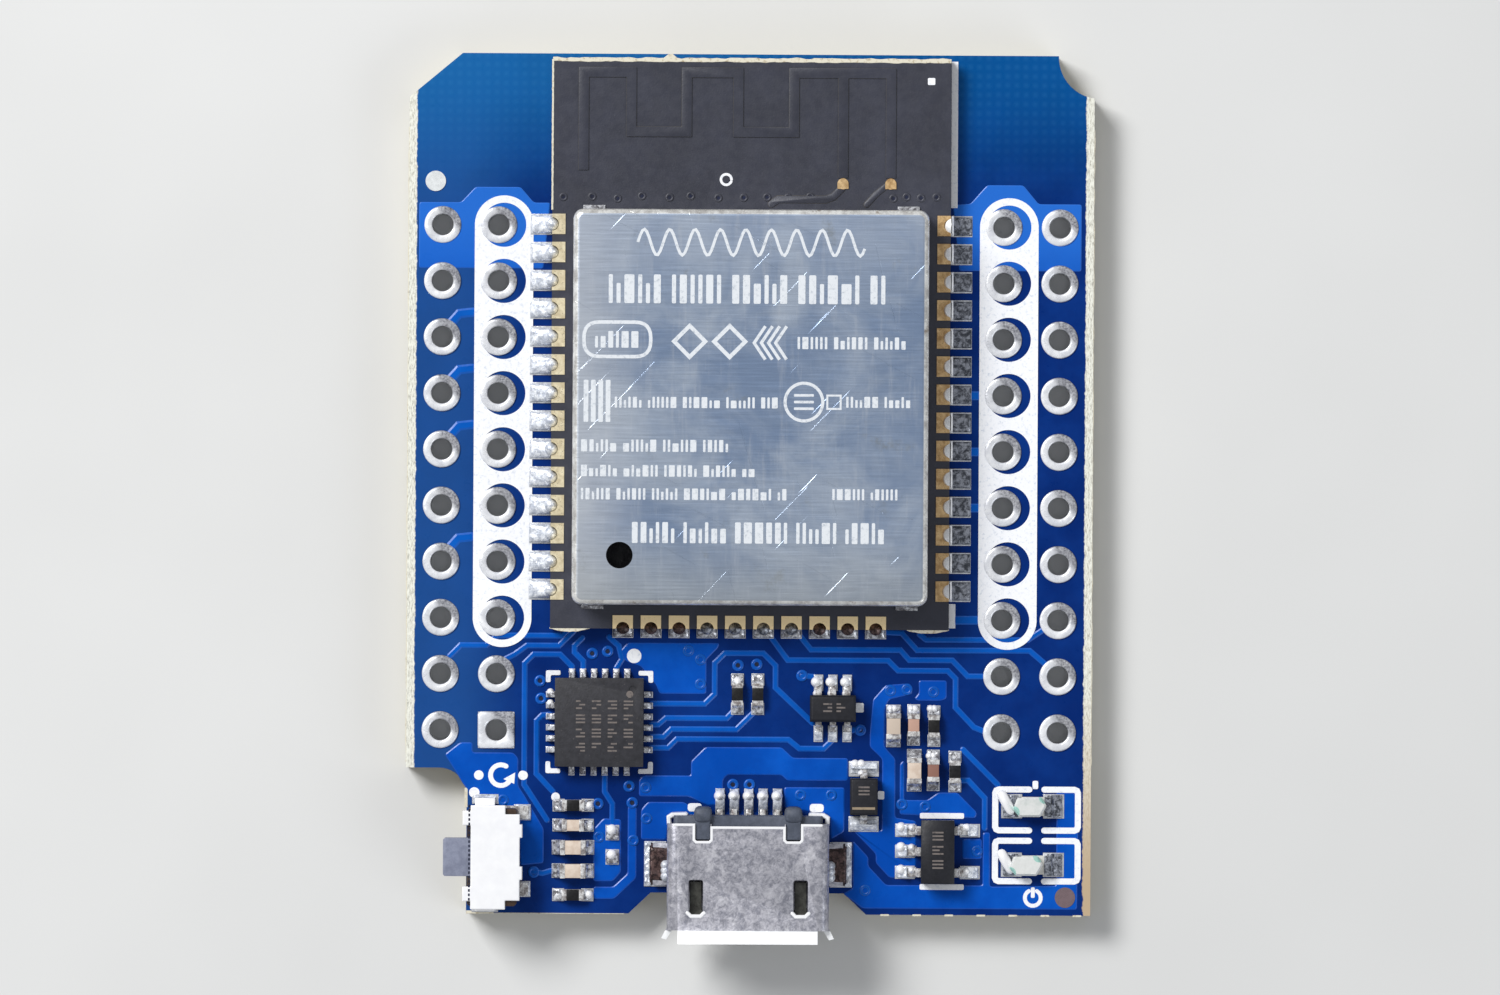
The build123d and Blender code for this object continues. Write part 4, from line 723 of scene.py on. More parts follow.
for thing in frame["nodes"].values():
    for place in thing.material_slots:
        slot_name = place.material.name
        place.link = "OBJECT"
        place.material = MATERIALS[slot_name]
frame["nodes"]["fiducial_pads"].material_slots[0].material = MATERIALS["fiducial_tin"]


# ------------------------------------------------ copper seen through the mask

COPPER_LOW = BOARD_TOP - 0.005
COPPER_TOP = BOARD_TOP + 0.03
TRACE_WIDTH = 0.26

TRACES = [
    # from the two lowest holes on the left, under the module
    [(-13.55, -8.1), (-13.05, -7.6), (-11.9, -7.6), (-11.4, -7.15), (-8.45, -7.15), (-8.2, -6.9)],
    [(-11.0, -8.2), (-10.6, -8.0), (-10.05, -7.6), (-8.6, -7.6), (-7.95, -6.95)],
    # round the serial bridge
    [(-9.1, -15.5), (-10.15, -13.9), (-10.15, -8.4), (-9.75, -8.0), (-8.55, -8.0), (-8.0, -8.55)],
    [(-9.0, -10.72), (-9.35, -10.75), (-9.6, -11.0), (-9.6, -13.4), (-8.85, -14.2)],
    [(-6.5, -13.35), (-6.5, -14.2), (-6.15, -14.75), (-6.15, -15.75)],
    [(-7.5, -8.6), (-7.5, -8.3), (-7.9, -7.9), (-7.9, -7.6), (-7.55, -7.25)],
    [(-6.0, -8.6), (-5.75, -8.2), (-5.9, -7.6), (-6.35, -7.2)],
    [(-4.4, -10.2), (-2.0, -10.2), (-1.55, -9.75), (-1.55, -8.35), (-1.1, -7.9), (0.65, -7.9), (1.2, -8.45)]
    + [(1.2, -9.45), (2.9, -11.05)],
    [(-4.4, -11.15), (-4.1, -11.15), (-3.75, -10.85), (-1.0, -10.85), (-0.62, -10.45)],
    [(-4.4, -11.7), (-3.85, -11.7), (-3.5, -11.35), (-0.55, -11.35), (0.3, -10.5)],
    [(-4.4, -12.2), (-3.65, -12.2), (-3.25, -11.8), (1.8, -11.8), (2.3, -12.2), (3.4, -12.2), (3.75, -11.85)]
    + [(3.78, -11.5)],
    # from the module's lower pads to the right-hand holes
    [(0.9, -7.05), (1.75, -8.2), (6.3, -8.2), (6.75, -8.65), (9.0, -8.65), (9.35, -9.0), (9.35, -10.3)]
    + [(10.2, -11.2), (10.72, -11.4)],
    [(2.3, -7.1), (2.8, -7.72), (6.85, -7.72), (7.25, -8.17), (9.2, -8.17), (9.9, -8.89), (10.75, -8.89)],
    [(5.9, -6.9), (6.9, -6.95), (7.6, -7.72), (12.7, -7.72), (13.5, -8.4)],
    [(7.7, -7.0), (8.0, -7.24), (12.6, -7.24), (13.4, -6.7)],
    # lamps
    [(9.7, -12.2), (11.3, -13.8)],
    [(9.6, -13.6), (9.95, -13.6), (10.7, -14.4), (10.7, -15.75)],
    [(-9.7, -17.85), (-9.3, -17.9), (-8.75, -17.75)],
    [(4.5, -11.4), (5.0, -11.3)],
    [(2.4, -8.9), (2.95, -8.95)],
]

POURS = [
    # upper left and upper right, round the first holes
    [(-15.05, 9.45), (-9.4, 9.45), (-9.1, 12.45), (-9.85, 12.45)]
    + [(-10.45, 13.15), (-12.5, 13.15), (-13.15, 12.45), (-15.05, 12.45)],
    [(9.1, 12.45), (9.4, 9.45), (14.95, 9.45), (14.95, 12.5), (13.0, 12.5), (12.3, 13.35), (10.65, 13.35)]
    + [(9.9, 12.5)],
    # between the module and the bridge
    [(-5.9, -7.9), (-5.5, -7.45), (-1.35, -7.45), (-1.4, -7.65), (-1.93, -8.2), (-1.93, -9.75)]
    + [(-4.05, -9.75), (-4.2, -9.35), (-4.9, -8.5), (-5.55, -8.3)],
    # above the USB socket
    [(-4.95, -14.4), (-4.95, -13.65), (-4.75, -13.45), (-2.6, -13.45), (-2.6, -12.8), (-1.95, -12.15)]
    + [(1.5, -12.15), (2.0, -12.62), (4.5, -12.62), (4.5, -13.65), (1.75, -13.65), (1.5, -13.4)]
    + [(-0.95, -13.4), (-1.15, -13.65), (-1.15, -14.7), (-1.8, -14.8), (-2.7, -14.4)],
    [(-4.85, -16.35), (-4.85, -15.0), (-4.55, -14.65), (-2.9, -14.65), (-2.4, -15.0), (-2.4, -15.5)]
    + [(-3.6, -15.6), (-3.7, -16.35)],
    [(1.62, -13.95), (4.35, -13.95), (4.35, -15.95), (3.75, -16.3), (3.7, -15.2), (2.6, -15.0)]
    + [(1.65, -14.9)],
    # down the right of the diode to the regulator
    [(5.62, -9.95), (6.2, -9.3), (7.3, -9.22), (7.42, -9.7), (6.35, -9.95), (6.15, -10.4), (6.15, -12.1)]
    + [(6.65, -12.65), (6.65, -15.3), (7.6, -15.45), (7.6, -18.02), (6.4, -18.02), (5.78, -17.35)]
    + [(5.78, -16.95), (4.78, -15.92), (6.05, -15.9), (6.05, -12.65), (5.48, -12.1), (5.48, -11.5)],
    [(7.68, -9.08), (8.95, -9.08), (8.95, -9.9), (8.7, -10.0), (7.62, -10.0), (7.5, -9.9), (7.7, -9.65)],
    [(6.85, -12.85), (7.05, -12.7), (7.05, -14.5), (8.1, -14.5), (8.6, -14.15), (9.45, -14.15)]
    + [(10.35, -15.05), (10.3, -15.3), (6.85, -15.15)],
    [(9.7, -16.25), (10.58, -16.25), (10.58, -17.15), (9.7, -17.15)],
    # along the lower edge, right and left
    [(4.3, -18.75), (5.2, -19.42), (14.9, -19.42), (14.95, -13.9), (13.95, -13.9), (13.95, -18.35)]
    + [(10.95, -18.4), (10.95, -15.95), (10.62, -15.95), (10.62, -18.35), (6.25, -18.35)]
    + [(5.45, -17.5), (5.45, -17.1), (4.75, -16.35), (4.75, -18.5)],
    # round the reset switch
    [(-13.75, -12.55), (-13.05, -12.0), (-12.5, -12.0), (-12.5, -12.45), (-10.65, -12.45), (-10.42, -12.7)]
    + [(-10.42, -13.95), (-10.1, -14.45), (-9.25, -15.9), (-9.25, -17.45), (-10.3, -17.55), (-10.45, -15.0)]
    + [(-12.4, -14.5), (-12.9, -13.9), (-13.2, -13.4)],
    [(-7.0, -15.9), (-6.55, -15.4), (-5.75, -15.45), (-5.75, -17.85), (-6.1, -18.25), (-7.0, -18.25)],
    [(-5.45, -14.85), (-5.05, -14.85), (-5.05, -18.1), (-6.05, -19.05), (-7.0, -19.05), (-7.0, -18.5)]
    + [(-6.1, -18.5), (-5.45, -17.9)],
]

VIAS = [
    (-7.1, -7.95), (-6.4, -7.85), (-9.45, -9.2), (-9.4, -10.0), (-5.4, -13.95), (-5.25, -14.7),
    (-5.2, -16.4), (-4.65, -14.0), (-4.6, -15.4), (-11.1, -14.6), (-9.7, -17.85), (-6.75, -16.25),
    (-6.8, -14.75), (-0.7, -13.85), (0.05, -13.85), (2.35, -14.3), (3.75, -14.3), (2.4, -8.9),
    (5.05, -11.35), (-0.5, -8.45), (0.35, -8.4), (6.4, -9.55), (7.15, -9.5), (6.95, -14.7),
    (8.0, -14.8), (10.36, -16.8), (5.3, -18.6), (-2.75, -7.8), (-2.2, -8.2), (-2.2, -9.3),
    (8.35, -9.6),
]


def holds(outline, spot):
    """Whether a spot lies inside a closed outline."""
    inside = False
    for (ax, ay), (bx, by) in zip(outline, outline[1:] + outline[:1]):
        if (ay > spot.y) != (by > spot.y) and spot.x < ax + (spot.y - ay) * (bx - ax) / (by - ay):
            inside = not inside
    return inside


def masked_copper():
    """Traces, pours and covered vias standing a hair above the bare laminate."""
    pours, traces, vias, wells = Shape(), Shape(), Shape(), Shape()
    for outline in POURS:
        edge = rounded(anticlockwise(outline), 0.12, 3)
        bores = [circle(hole, 0.6) for hole in HOLES if holds(edge, hole)]
        if bores:
            pours.pierced(edge, bores, COPPER_LOW, COPPER_TOP - 0.008, 0.05)
        else:
            pours.plate(edge, COPPER_LOW, COPPER_TOP - 0.008, 0.05, 0.022)
    for path in TRACES:
        traces.plate(strip(path, TRACE_WIDTH), COPPER_LOW, COPPER_TOP, 0.06, 0.03)
    for row in (2, 3, 4, 6):
        y, below = ROW_Y[row : row + 2]
        path = [(-OUTER_COLUMN + 0.42, y + 0.66), (-13.2, y + 1.05), (-12.6, y + 1.12)]
        traces.plate(strip(path, 0.42), COPPER_LOW, COPPER_TOP, 0.09, 0.03)
        traces.plate(strip([(9.3, below), (10.6, below)], 0.4), COPPER_LOW, COPPER_TOP, 0.06, 0.03)
    for centre in VIAS:
        vias.washer(centre, 0.1, 0.27, COPPER_LOW, COPPER_TOP + 0.02, 0.03, 24)
        wells.plate(circle(centre, 0.1, 16), COPPER_LOW, BOARD_TOP + 0.004)
    piece("copper_pours", pours, "pour_mask")
    piece("copper_traces", traces, "copper_mask")
    piece("covered_vias", vias, "copper_mask", smooth=True)
    piece("via_wells", wells, "via_shadow")


masked_copper()


# ------------------------------------------------ tinning on the header holes


def ring_crown(shape, centre, inner, low, rise, square):
    """Solder left standing on a land: a rounded ring, or one with a square outside."""
    count = 40
    outer = 0.84
    section = [(0.0, 0.0), (0.04, 0.55), (0.2, 0.9), (0.5, 1.0), (0.8, 0.9), (0.96, 0.55), (1.0, 0.0)]
    rings = []
    for share, height in section:
        ring = []
        for index in range(count):
            angle = math.tau * (index + 0.5) / count
            c, s = math.cos(angle), math.sin(angle)
            reach = min(outer / max(abs(c), abs(s)), outer * 1.33) if square else outer
            lump = 1 + 0.35 * rough(3, centre[0] + c, centre[1] + s, share)
            ring.append((*polar(centre, reach + (inner - reach) * share, angle), low + rise * height * lump))
        rings.append(ring)
    shape.loft(rings, closed_round=True)


def header_tinning():
    tinning = Shape()
    for hole in HOLES:
        square = abs(hole.x + INNER_COLUMN) < 0.1 and hole.y < ROW_Y[8]
        ring_crown(tinning, (hole.x, hole.y), 0.48, BOARD_TOP + 0.01, 0.09, square)
        ring_crown(tinning, (hole.x, hole.y), 0.5, BOARD_LOW.z - 0.01, -0.01, square)
    piece("header_hole_tinning", tinning, "hole_tinning", smooth=True)


header_tinning()


# ------------------------------------------------ white print

INK_LOW = BOARD_TOP - 0.005
INK_TOP = BOARD_TOP + 0.034
INK = (INK_LOW, INK_TOP, 0.012)


def stadium(shape, x):
    """White print round the upper eight holes of a column, with a clear circle for each."""
    rows = ROW_Y[:8]
    outline = arc((x, rows[0]), 1.33, 3.75, 176.25, 24) + arc((x, rows[-1]), 1.33, 183.75, 356.25, 24)
    shape.pierced(outline, [circle((x, y), 1.0, 48) for y in rows], INK_LOW, INK_TOP)


def lamp_frame(shape, y0, y1):
    """A line round a lamp in two halves, its corners cut and its ends apart."""
    for x, gap, inward in ((11.18, 12.72, 0.16), (14.92, 13.4, -0.16)):
        lower = [(gap, y0), (x + inward, y0), (x + inward * 0.3, y0 + 0.05), (x, y0 + 0.16)]
        upper = [(x, y1 - 0.16), (x + inward * 0.3, y1 - 0.05), (x + inward, y1), (gap, y1)]
        shape.plate(strip(lower + upper, 0.28), *INK)


def reset_sign(shape, x, y):
    """A generic circular arrow between two dots."""
    path = arc((x, y), 0.47, 60, 330, 18)
    shape.plate(strip(path, 0.22), *INK)
    tip = path[-1]
    head = [(tip[0] - 0.3, tip[1] + 0.06), (tip[0] + 0.2, tip[1] - 0.16), (tip[0] + 0.24, tip[1] + 0.36)]
    shape.plate(head, INK_LOW, INK_TOP + 0.001, 0.012)
    for side in (-1, 1):
        shape.plate(circle((x + side, y), 0.22, 20), *INK)


def power_sign(shape, x, y):
    """A generic broken ring with a bar."""
    shape.plate(strip(arc((x, y), 0.36, 120, 420, 18), 0.18), *INK)
    shape.plate(rounded(rectangle(x - 0.09, y, x + 0.09, y + 0.48), 0.06), *INK)


def board_print():
    silk = Shape()
    for column in (-INNER_COLUMN, INNER_COLUMN):
        stadium(silk, column + 0.24)
    # pin marks of the bridge chip, the switch and the first chip part
    for centre, radius in (((-5.2, -8.05), 0.33), ((-12.4, -14.27), 0.24), ((-8.72, -14.45), 0.2)):
        silk.plate(circle(centre, radius, 28), *INK)
    # corner marks round the bridge chip
    for corner_x, sx in ((CHIP_LOW.x, 1), (CHIP_HIGH.x, -1)):
        for corner_y, sy in ((CHIP_LOW.y, 1), (CHIP_HIGH.y, -1)):
            x, y = corner_x - 0.32 * sx, corner_y - 0.22 * sy
            path = [(x + 0.558 * sx, y), (x, y), (x, y + 0.434 * sy)]
            silk.plate(rounded(strip(path, 0.22, False), 0.08, 3), *INK)
    # bars above and below the regulator
    low, high = box("regulator_body")
    bars = [(low.x - 0.05, y - 0.13, high.x + 0.45, y + 0.13) for y in (high.y + 0.18, low.y - 0.18)]
    # squares beside the transistor pair, the diode and the upper lamp
    bars += [(4.82, -10.55, 5.2, -10.12), (5.85, -14.48, 6.15, -14.1), (12.86, -13.98, 13.12, -13.6)]
    for corners in bars:
        silk.plate(rounded(rectangle(*corners), 0.08), *INK)
    lamp_frame(silk, -15.85, -14.0)
    lamp_frame(silk, -18.15, -16.32)
    # marks behind the USB socket
    for x in (-2.42, 3.1):
        silk.plate(rounded(rectangle(x - 0.32, -15.08, x + 0.32, -14.7), 0.16), *INK)
    # bars along the right edge of the module
    for y0, y1 in ((12.3, MODULE_HIGH.y + 0.02), (-6.72, -5.62)):
        silk.plate(rectangle(MODULE_HIGH.x + 0.02, y0, MODULE_HIGH.x + 0.32, y1), *INK)
    reset_sign(silk, -11.2, -13.48)
    power_sign(silk, 12.9, -18.9)
    piece("white_print", silk, "white_ink")


board_print()


# ------------------------------------------------ module board

MODULE_VIAS_X = (-8.5, -7.2, -6.05, -4.95, -3.7, -2.75, -1.5, -0.35, 0.7, 1.65, 2.65, 6.4, 7.0, 7.65, 8.35)


def module_relief():
    """Feed lines and covered vias under the module's mask, and its two printed marks."""
    relief, holes, mark = Shape(), Shape(), Shape()
    low = MODULE_TOP - 0.01
    feed = [(4.1, 13.15), (3.7, 12.75), (3.35, 12.62), (1.2, 12.62), (0.9, 12.4)]
    for path, width in ((feed, 0.36), ([(6.15, 13.3), (5.6, 12.85), (5.2, 12.4)], 0.3)):
        relief.plate(strip(path, width), low, MODULE_TOP + 0.03, 0.05, 0.03)
    for x in MODULE_VIAS_X:
        centre = (x, 12.72 + 0.12 * rough(5, x))
        relief.washer(centre, 0.08, 0.2, low, MODULE_TOP + 0.018, 0.012, 20)
        holes.plate(circle(centre, 0.08, 14), low, MODULE_TOP + 0.004)
    for outline in (
        rounded(rectangle(7.93, 17.82, 8.27, 18.14), 0.06),
        strip(arc((-1.15, 13.5), 0.24, 0, 340, 18), 0.12),
    ):
        mark.plate(outline, low, MODULE_TOP + 0.02, 0.01)
    piece("module_relief", relief, "black_laminate", smooth=True)
    piece("module_vias", holes, "via_shadow")
    piece("module_print", mark, "white_ink")


def torn_edges():
    """Ragged laminate along the module's antenna end, its lower corners and its upper left side."""
    fray = Shape()
    outer, inner = [], []
    for x in spread(MODULE_LOW.x, MODULE_HIGH.x, 90):
        spur = 0.14 if abs(x + 3.75) < 0.22 else 0
        outer.append((x, MODULE_HIGH.y + 0.09 + 0.07 * rough(11, x * 2.1) + 0.03 * rough(12, x * 9) + spur))
        inner.append((x, MODULE_HIGH.y - 0.1 - 0.04 * rough(13, x * 3)))
    fray.plate(inner + outer[::-1], MODULE_LOW.z + 0.02, MODULE_TOP + 0.012, 0.015)
    for x0, x1 in ((-9.02, -7.2), (7.1, 9.02)):
        low = []
        line = spread(x0, x1, 14)
        for index, x in enumerate(line):
            fall = 0.16 * math.sin(math.pi * (index + 0.6) / 15.2)
            low.append((x, MODULE_LOW.y - fall - 0.03 * rough(17, x * 6)))
        high = [(x, MODULE_LOW.y + 0.04) for x in reversed(line)]
        fray.plate(low + high, MODULE_LOW.z + 0.03, MODULE_TOP - 0.01, 0.015)
    side = spread(12.1, MODULE_HIGH.y, 60)
    outer = [(MODULE_LOW.x - 0.04 - 0.02 * rough(19, y * 11), y) for y in side]
    inner = [(MODULE_LOW.x + 0.05 + 0.02 * rough(21, y * 9), y) for y in side]
    fray.plate(outer + inner[::-1], MODULE_LOW.z + 0.05, MODULE_TOP + 0.006, 0.01)
    piece("module_torn_edges", fray, "bare_laminate")


module_relief()
torn_edges()


# ------------------------------------------------ shield can

# each row of strokes: from x to x, at y, and its height
CAN_ROWS = (
    (-6.4, 6.2, 8.5, 1.3), (-7.0, -5.0, 6.22, 0.75), (2.1, 7.1, 6.1, 0.55), (-6.1, 1.1, 3.4, 0.5),
    (4.3, 7.3, 3.45, 0.5), (-7.6, -0.9, 1.45, 0.55), (-7.6, 0.3, 0.32, 0.52), (-7.6, 1.8, -0.72, 0.52),
    (3.7, 7.0, -0.7, 0.5), (-5.3, 6.3, -2.45, 0.95),
)
MARK_LOW = CAN_HIGH.z - 0.01
MARK_TOP = CAN_HIGH.z + 0.012


def can_bar(shape, x0, y0, x1, y1, corner):
    shape.plate(rounded(rectangle(x0, y0, x1, y1), corner, 2), MARK_LOW, MARK_TOP, 0.006)


def greeked_row(shape, draw, x, x1, y, height):
    """A row of plain upright strokes in groups of six, in place of a line of print."""
    stroke = 0.06 + height * 0.1
    low = y - height / 2
    count = 0
    while x < x1 - stroke:
        wide = stroke * draw.choice((1.0, 1.0, 1.7, 2.4))
        tall = height * draw.choice((1.0, 1.0, 1.0, 0.7))
        can_bar(shape, x, low, x + wide, low + tall, stroke * 0.3)
        count += 1
        x += wide + stroke * (0.85 if count % 6 else 2.6)


def ribbon(shape, path, width):
    """A thin line of even width on the can. It may close on itself."""
    rings = []
    for (rx, ry), (lx, ly) in zip(beside(path, width / 2), beside(path, -width / 2)):
        rings.append([(rx, ry, MARK_LOW), (rx, ry, MARK_TOP), (lx, ly, MARK_TOP), (lx, ly, MARK_LOW)])
    shape.loft(rings, closed_round=path[0] == path[-1])


def can_marks():
    """Pale etched marks on the can: plain bars and simple figures only."""
    marks = Shape()
    draw = random.Random(4)
    for row in CAN_ROWS:
        greeked_row(marks, draw, *row)
    wave = [(-5.1 + 0.1 * step, 10.6 + 0.58 * math.sin(0.55 * step)) for step in range(103)]
    ribbon(marks, wave, 0.13)
    badge = rounded(rectangle(-7.5, 5.45, -4.5, 7.0), 0.7, 6)
    left_diamond, right_diamond = circle((-2.75, 6.15), 0.7, 4), circle((-0.95, 6.15), 0.7, 4)
    ring, square = circle((2.4, 3.45), 0.85, 30), rectangle(3.45, 3.15, 4.05, 3.75)
    figures = ((badge, 0.16), (left_diamond, 0.18), (right_diamond, 0.18), (ring, 0.14), (square, 0.09))
    for outline, width in figures:
        ribbon(marks, outline + outline[:1], width)
    for step in range(4):
        x = 0.15 + 0.32 * step
        ribbon(marks, [(x + 0.5, 6.85), (x, 6.1), (x + 0.5, 5.35)], 0.14)
        can_bar(marks, -7.5 + step * 0.33, 2.5, -7.28 + step * 0.33, 4.4, 0.05)
    for y in (3.15, 3.45, 3.75):
        can_bar(marks, 1.95, y - 0.06, 2.85, y + 0.06, 0.04)
    piece("can_etched_marks", marks, "etched_tin")


can_marks()


# ------------------------------------------------ solder

for copy in (
    ("bridge_chip_solder", "bridge_chip_joints", "solder", 0.025, 3, 0.03),
    ("usb_contact_solder", "usb_contact_joints", "bright_solder", 0.025, 4, 0.04),
    ("switch_solder", "switch_joints", "bright_solder", 0.03, 4, 0.05),
    ("lead_solder_joints", "lead_joints", "bright_solder", 0.028, 4, 0.05),
    ("chip_solder_joints", "chip_part_joints", "solder", 0.025, 3, 0.05),
    ("led_solder", "lamp_joints", "speckled_solder", 0.03, 4, 0.06),
    ("shield_solder", "can_corner_joints", "solder", 0.025, 3, 0.02),
):
    melted_copy(*copy)


def climb(seed, outer, inner, u, v):
    """Height of solder on a pad: from outer at u = 0 up to inner at u = 1, round-shouldered across v."""
    rise = outer + (inner - outer) * u**1.6
    shoulder = (1 - (2 * v - 1) ** 6) * min(1.0, u * 6 + 0.35)
    return rise * shoulder * (1 + 0.14 * rough(seed, u * 3, v * 3, seed))


def module_joints():
    """Solder from the main board's pads up into the module's half-holes, different on each side."""
    left, right, end, dark = Shape(), Shape(), Shape(), Shape()
    well = MODULE_TOP - PAD_TOP
    for row, y in enumerate(SIDE_PADS_Y):
        for shape, x, way, inner in ((left, MODULE_LOW.x, -1, 0.4), (right, MODULE_HIGH.x, 1, 0.16)):
            height = partial(climb, row + 20 * way, 0.08, inner)
            shape.patch((x + way * 0.98, x), (y - 0.42, y + 0.42), PAD_TOP, height, (10, 10))
        left.dome((MODULE_LOW.x, y), 0.3, PAD_TOP, well - 0.06, 9, 5)
    y = MODULE_LOW.y
    for place, x in enumerate(END_PADS_X):
        height = partial(climb, place + 50, 0.06, 0.3)
        end.patch((x - 0.46, x + 0.46), (y - 0.4, y), PAD_TOP, lambda u, v: height(v, u), (10, 8))
        fill = right if 3 <= place <= 6 else dark
        fill.dome((x, y + 0.03), 0.3, PAD_TOP, well * 0.5, power=5)
    for name, shape, material in (
        ("module_left_joints", left, "bright_solder"),
        ("module_right_joints", right, "speckled_solder"),
        ("module_end_joints", end, "solder"),
        ("module_dark_joints", dark, "stained_solder"),
    ):
        piece(name, shape, material, True, "module_solder_joints")


module_joints()


# ------------------------------------------------ moulded and formed parts with broken edges

for copy in (
    ("module_antenna", "antenna_relief", "black_laminate", 0.03),
    ("bridge_chip_body", "bridge_chip_moulding", "mould_compound", 0.035),
    ("regulator_body", "regulator_moulding", "dark_compound", 0.04, "mould_compound"),
    ("transistor_pair_body", "transistor_pair_moulding", "dark_compound", 0.035, "mould_compound"),
    ("diode_body", "diode_moulding", "dark_compound", 0.035, "mould_compound"),
    ("capacitor_bodies", "capacitor_ceramic", "tan_ceramic", 0.03),
    ("capacitor_end_caps", "capacitor_ends", "tinned_leads", 0.035),
    ("resistor_coatings", "resistor_glaze", "black_glaze", 0.012),
    ("resistor_end_caps", "resistor_ends", "tinned_leads", 0.025),
    ("led_terminals", "lamp_terminals", "speckled_solder", 0.006, "gold_plate"),
    ("regulator_leads", "regulator_legs", "tinned_leads", 0.03),
    ("transistor_pair_leads", "transistor_pair_legs", "tinned_leads", 0.03),
    ("diode_leads", "diode_legs", "tinned_leads", 0.03),
    ("usb_shell", "usb_sheet_shell", "stainless_shell", 0.075),
    ("usb_insulator", "usb_moulding", "black_plastic", 0.04),
    ("usb_contacts", "usb_contact_strips", "tinned_leads", 0.02),
    ("switch_base", "switch_moulding", "brown_plastic", 0.03),
    ("switch_cover", "switch_sheet_cover", "bright_sheet", 0.035),
    ("switch_terminals", "switch_feet", "tinned_leads", 0.02),
    # the plunger's grey look is painted shade on a white plunger
    ("switch_plunger", "reset_button", "grey_plastic", 0.05, "", "reset_plunger"),
    ("surface_pads", "tinned_pads", "tinned_copper", 0.015),
):
    finished_copy(*copy)


# ------------------------------------------------ USB socket, switch, lamps and edges in detail

USB_REAR_Y = -15.6
LATCHES_X = (-2.34, 2.38)
POST_X = 2.04


def usb_details():
    """Rolled edges and rear flaps of the socket, near-white as a painted highlight, insulator posts and
    latch springs.
    """
    rolled, springs, heads = Shape(), Shape(), Shape()
    top = box("usb_shell")[1].z - 0.34
    for x in LATCHES_X:
        lip = [(x - 0.38, -19.56), (x - 0.22, -19.72), (x + 0.22, -19.72), (x + 0.38, -19.56)]
        rolled.plate(strip(lip, 0.17), top - 0.3, top + 0.03, 0.04)
        near = [(x - 0.33, -19.66), (x - 0.27, -19.3)]
        far = [(x + 0.27, -19.3), (x + 0.33, -19.66)]
        springs.plate(near + [(x - 0.27, -18.15), (x + 0.27, -18.15)] + far, top - 0.5, top - 0.3, 0.03)
    for side in (-1, 1):
        flap = [(side * 3.56, -15.62), (side * 3.58, -15.3), (side * 3.42, -15.2), (side * 2.82, -15.18)]
        rolled.plate(strip(flap, 0.2), PAD_TOP + 0.05, PAD_TOP + 1.5, 0.05)
    dip = USB_REAR_Y - 0.12
    rim = [(-3.3, USB_REAR_Y)]
    for x, before, after in ((-POST_X, USB_REAR_Y, dip), (POST_X, dip, USB_REAR_Y)):
        rim += [(x - 0.4, before), (x - 0.4, -16.28), (x - 0.3, -16.38)]
        rim += [(x + 0.3, -16.38), (x + 0.4, -16.28), (x + 0.4, after)]
        post = rounded(rectangle(x - 0.4, -15.5, x + 0.4, -14.8), 0.3)
        heads.plate(post, PAD_TOP + 0.3, top + 0.02, 0.12)
    rolled.plate(strip(rim + [(3.3, USB_REAR_Y)], 0.12), top - 0.1, top + 0.024, 0.02)
    piece("usb_post_heads", heads, "black_plastic", smooth=True)
    # painted highlight: near-white strips along the rolled edges and flaps
    piece("usb_rolled_edges", rolled, "bright_sheet")
    piece("usb_latch_springs", springs, "shaded_steel")


def stained_height(side, u, v):
    lumps = 1 + 0.25 * rough(31 * side, u * 2, v * 5)
    return (0.3 + 0.05 * (1 - u)) * lumps * min(1, 8 * v, 8 * (1 - v), 6 * u + 0.5)


def clean_height(side, u, v):
    return 0.14 * (1 + 0.5 * rough(37 * side, u * 2, v * 9)) * min(1, 6 * u + 0.3, 8 * v + 0.2)


def usb_tab_joints():
    """Flux-stained solder on the socket's side pads, with a clean outer edge and bright drops."""
    stained, clean = Shape(), Shape()
    for side in (-1, 1):
        height = partial(stained_height, side)
        stained.patch((side * 4.46, side * 3.62), (-18.4, -16.5), PAD_TOP, height, (14, 26))
        height = partial(clean_height, side)
        clean.patch((side * 4.7, side * 4.4), (-18.46, -16.44), PAD_TOP, height, (6, 30))
        for y in (-17.5, -17.75, -18.0):
            clean.dome((side * 3.72, y), 0.27, PAD_TOP, 0.62, 8)
    piece("usb_tab_stained_joints", stained, "stained_solder", True, "usb_tab_solder")
    piece("usb_tab_clean_joints", clean, "bright_solder", False, "usb_tab_solder")


def switch_details():
    """The folded seam of the switch cover, and the snap dome as a bent strip."""
    cover_top = box("switch_cover")[1].z
    seam = Shape()
    for step in range(23):
        y = -19.3 + 0.2 * step
        seam.plate(rectangle(-12.62, y, -12.54, y + 0.12), cover_top - 0.01, cover_top + 0.006)
    piece("switch_seam", seam, "via_shadow")

    low, high = box("switch_snap_dome")
    middle, half, depth = (low.y + high.y) / 2, (high.y - low.y) / 2, high.x - low.x
    radius = (half**2 + depth**2) / (2 * depth)
    reach = math.degrees(math.asin(half / radius))
    line = arc((low.x + radius, middle), radius - 0.03, 180 - reach, 180 + reach, 25)
    dome = Shape()
    dome.plate(strip(line, 0.06, False), low.z, high.z, 0.01)
    blade = piece("snap_dome_strip", dome, "spring_steel", replaces="switch_snap_dome")
    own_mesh(blade)


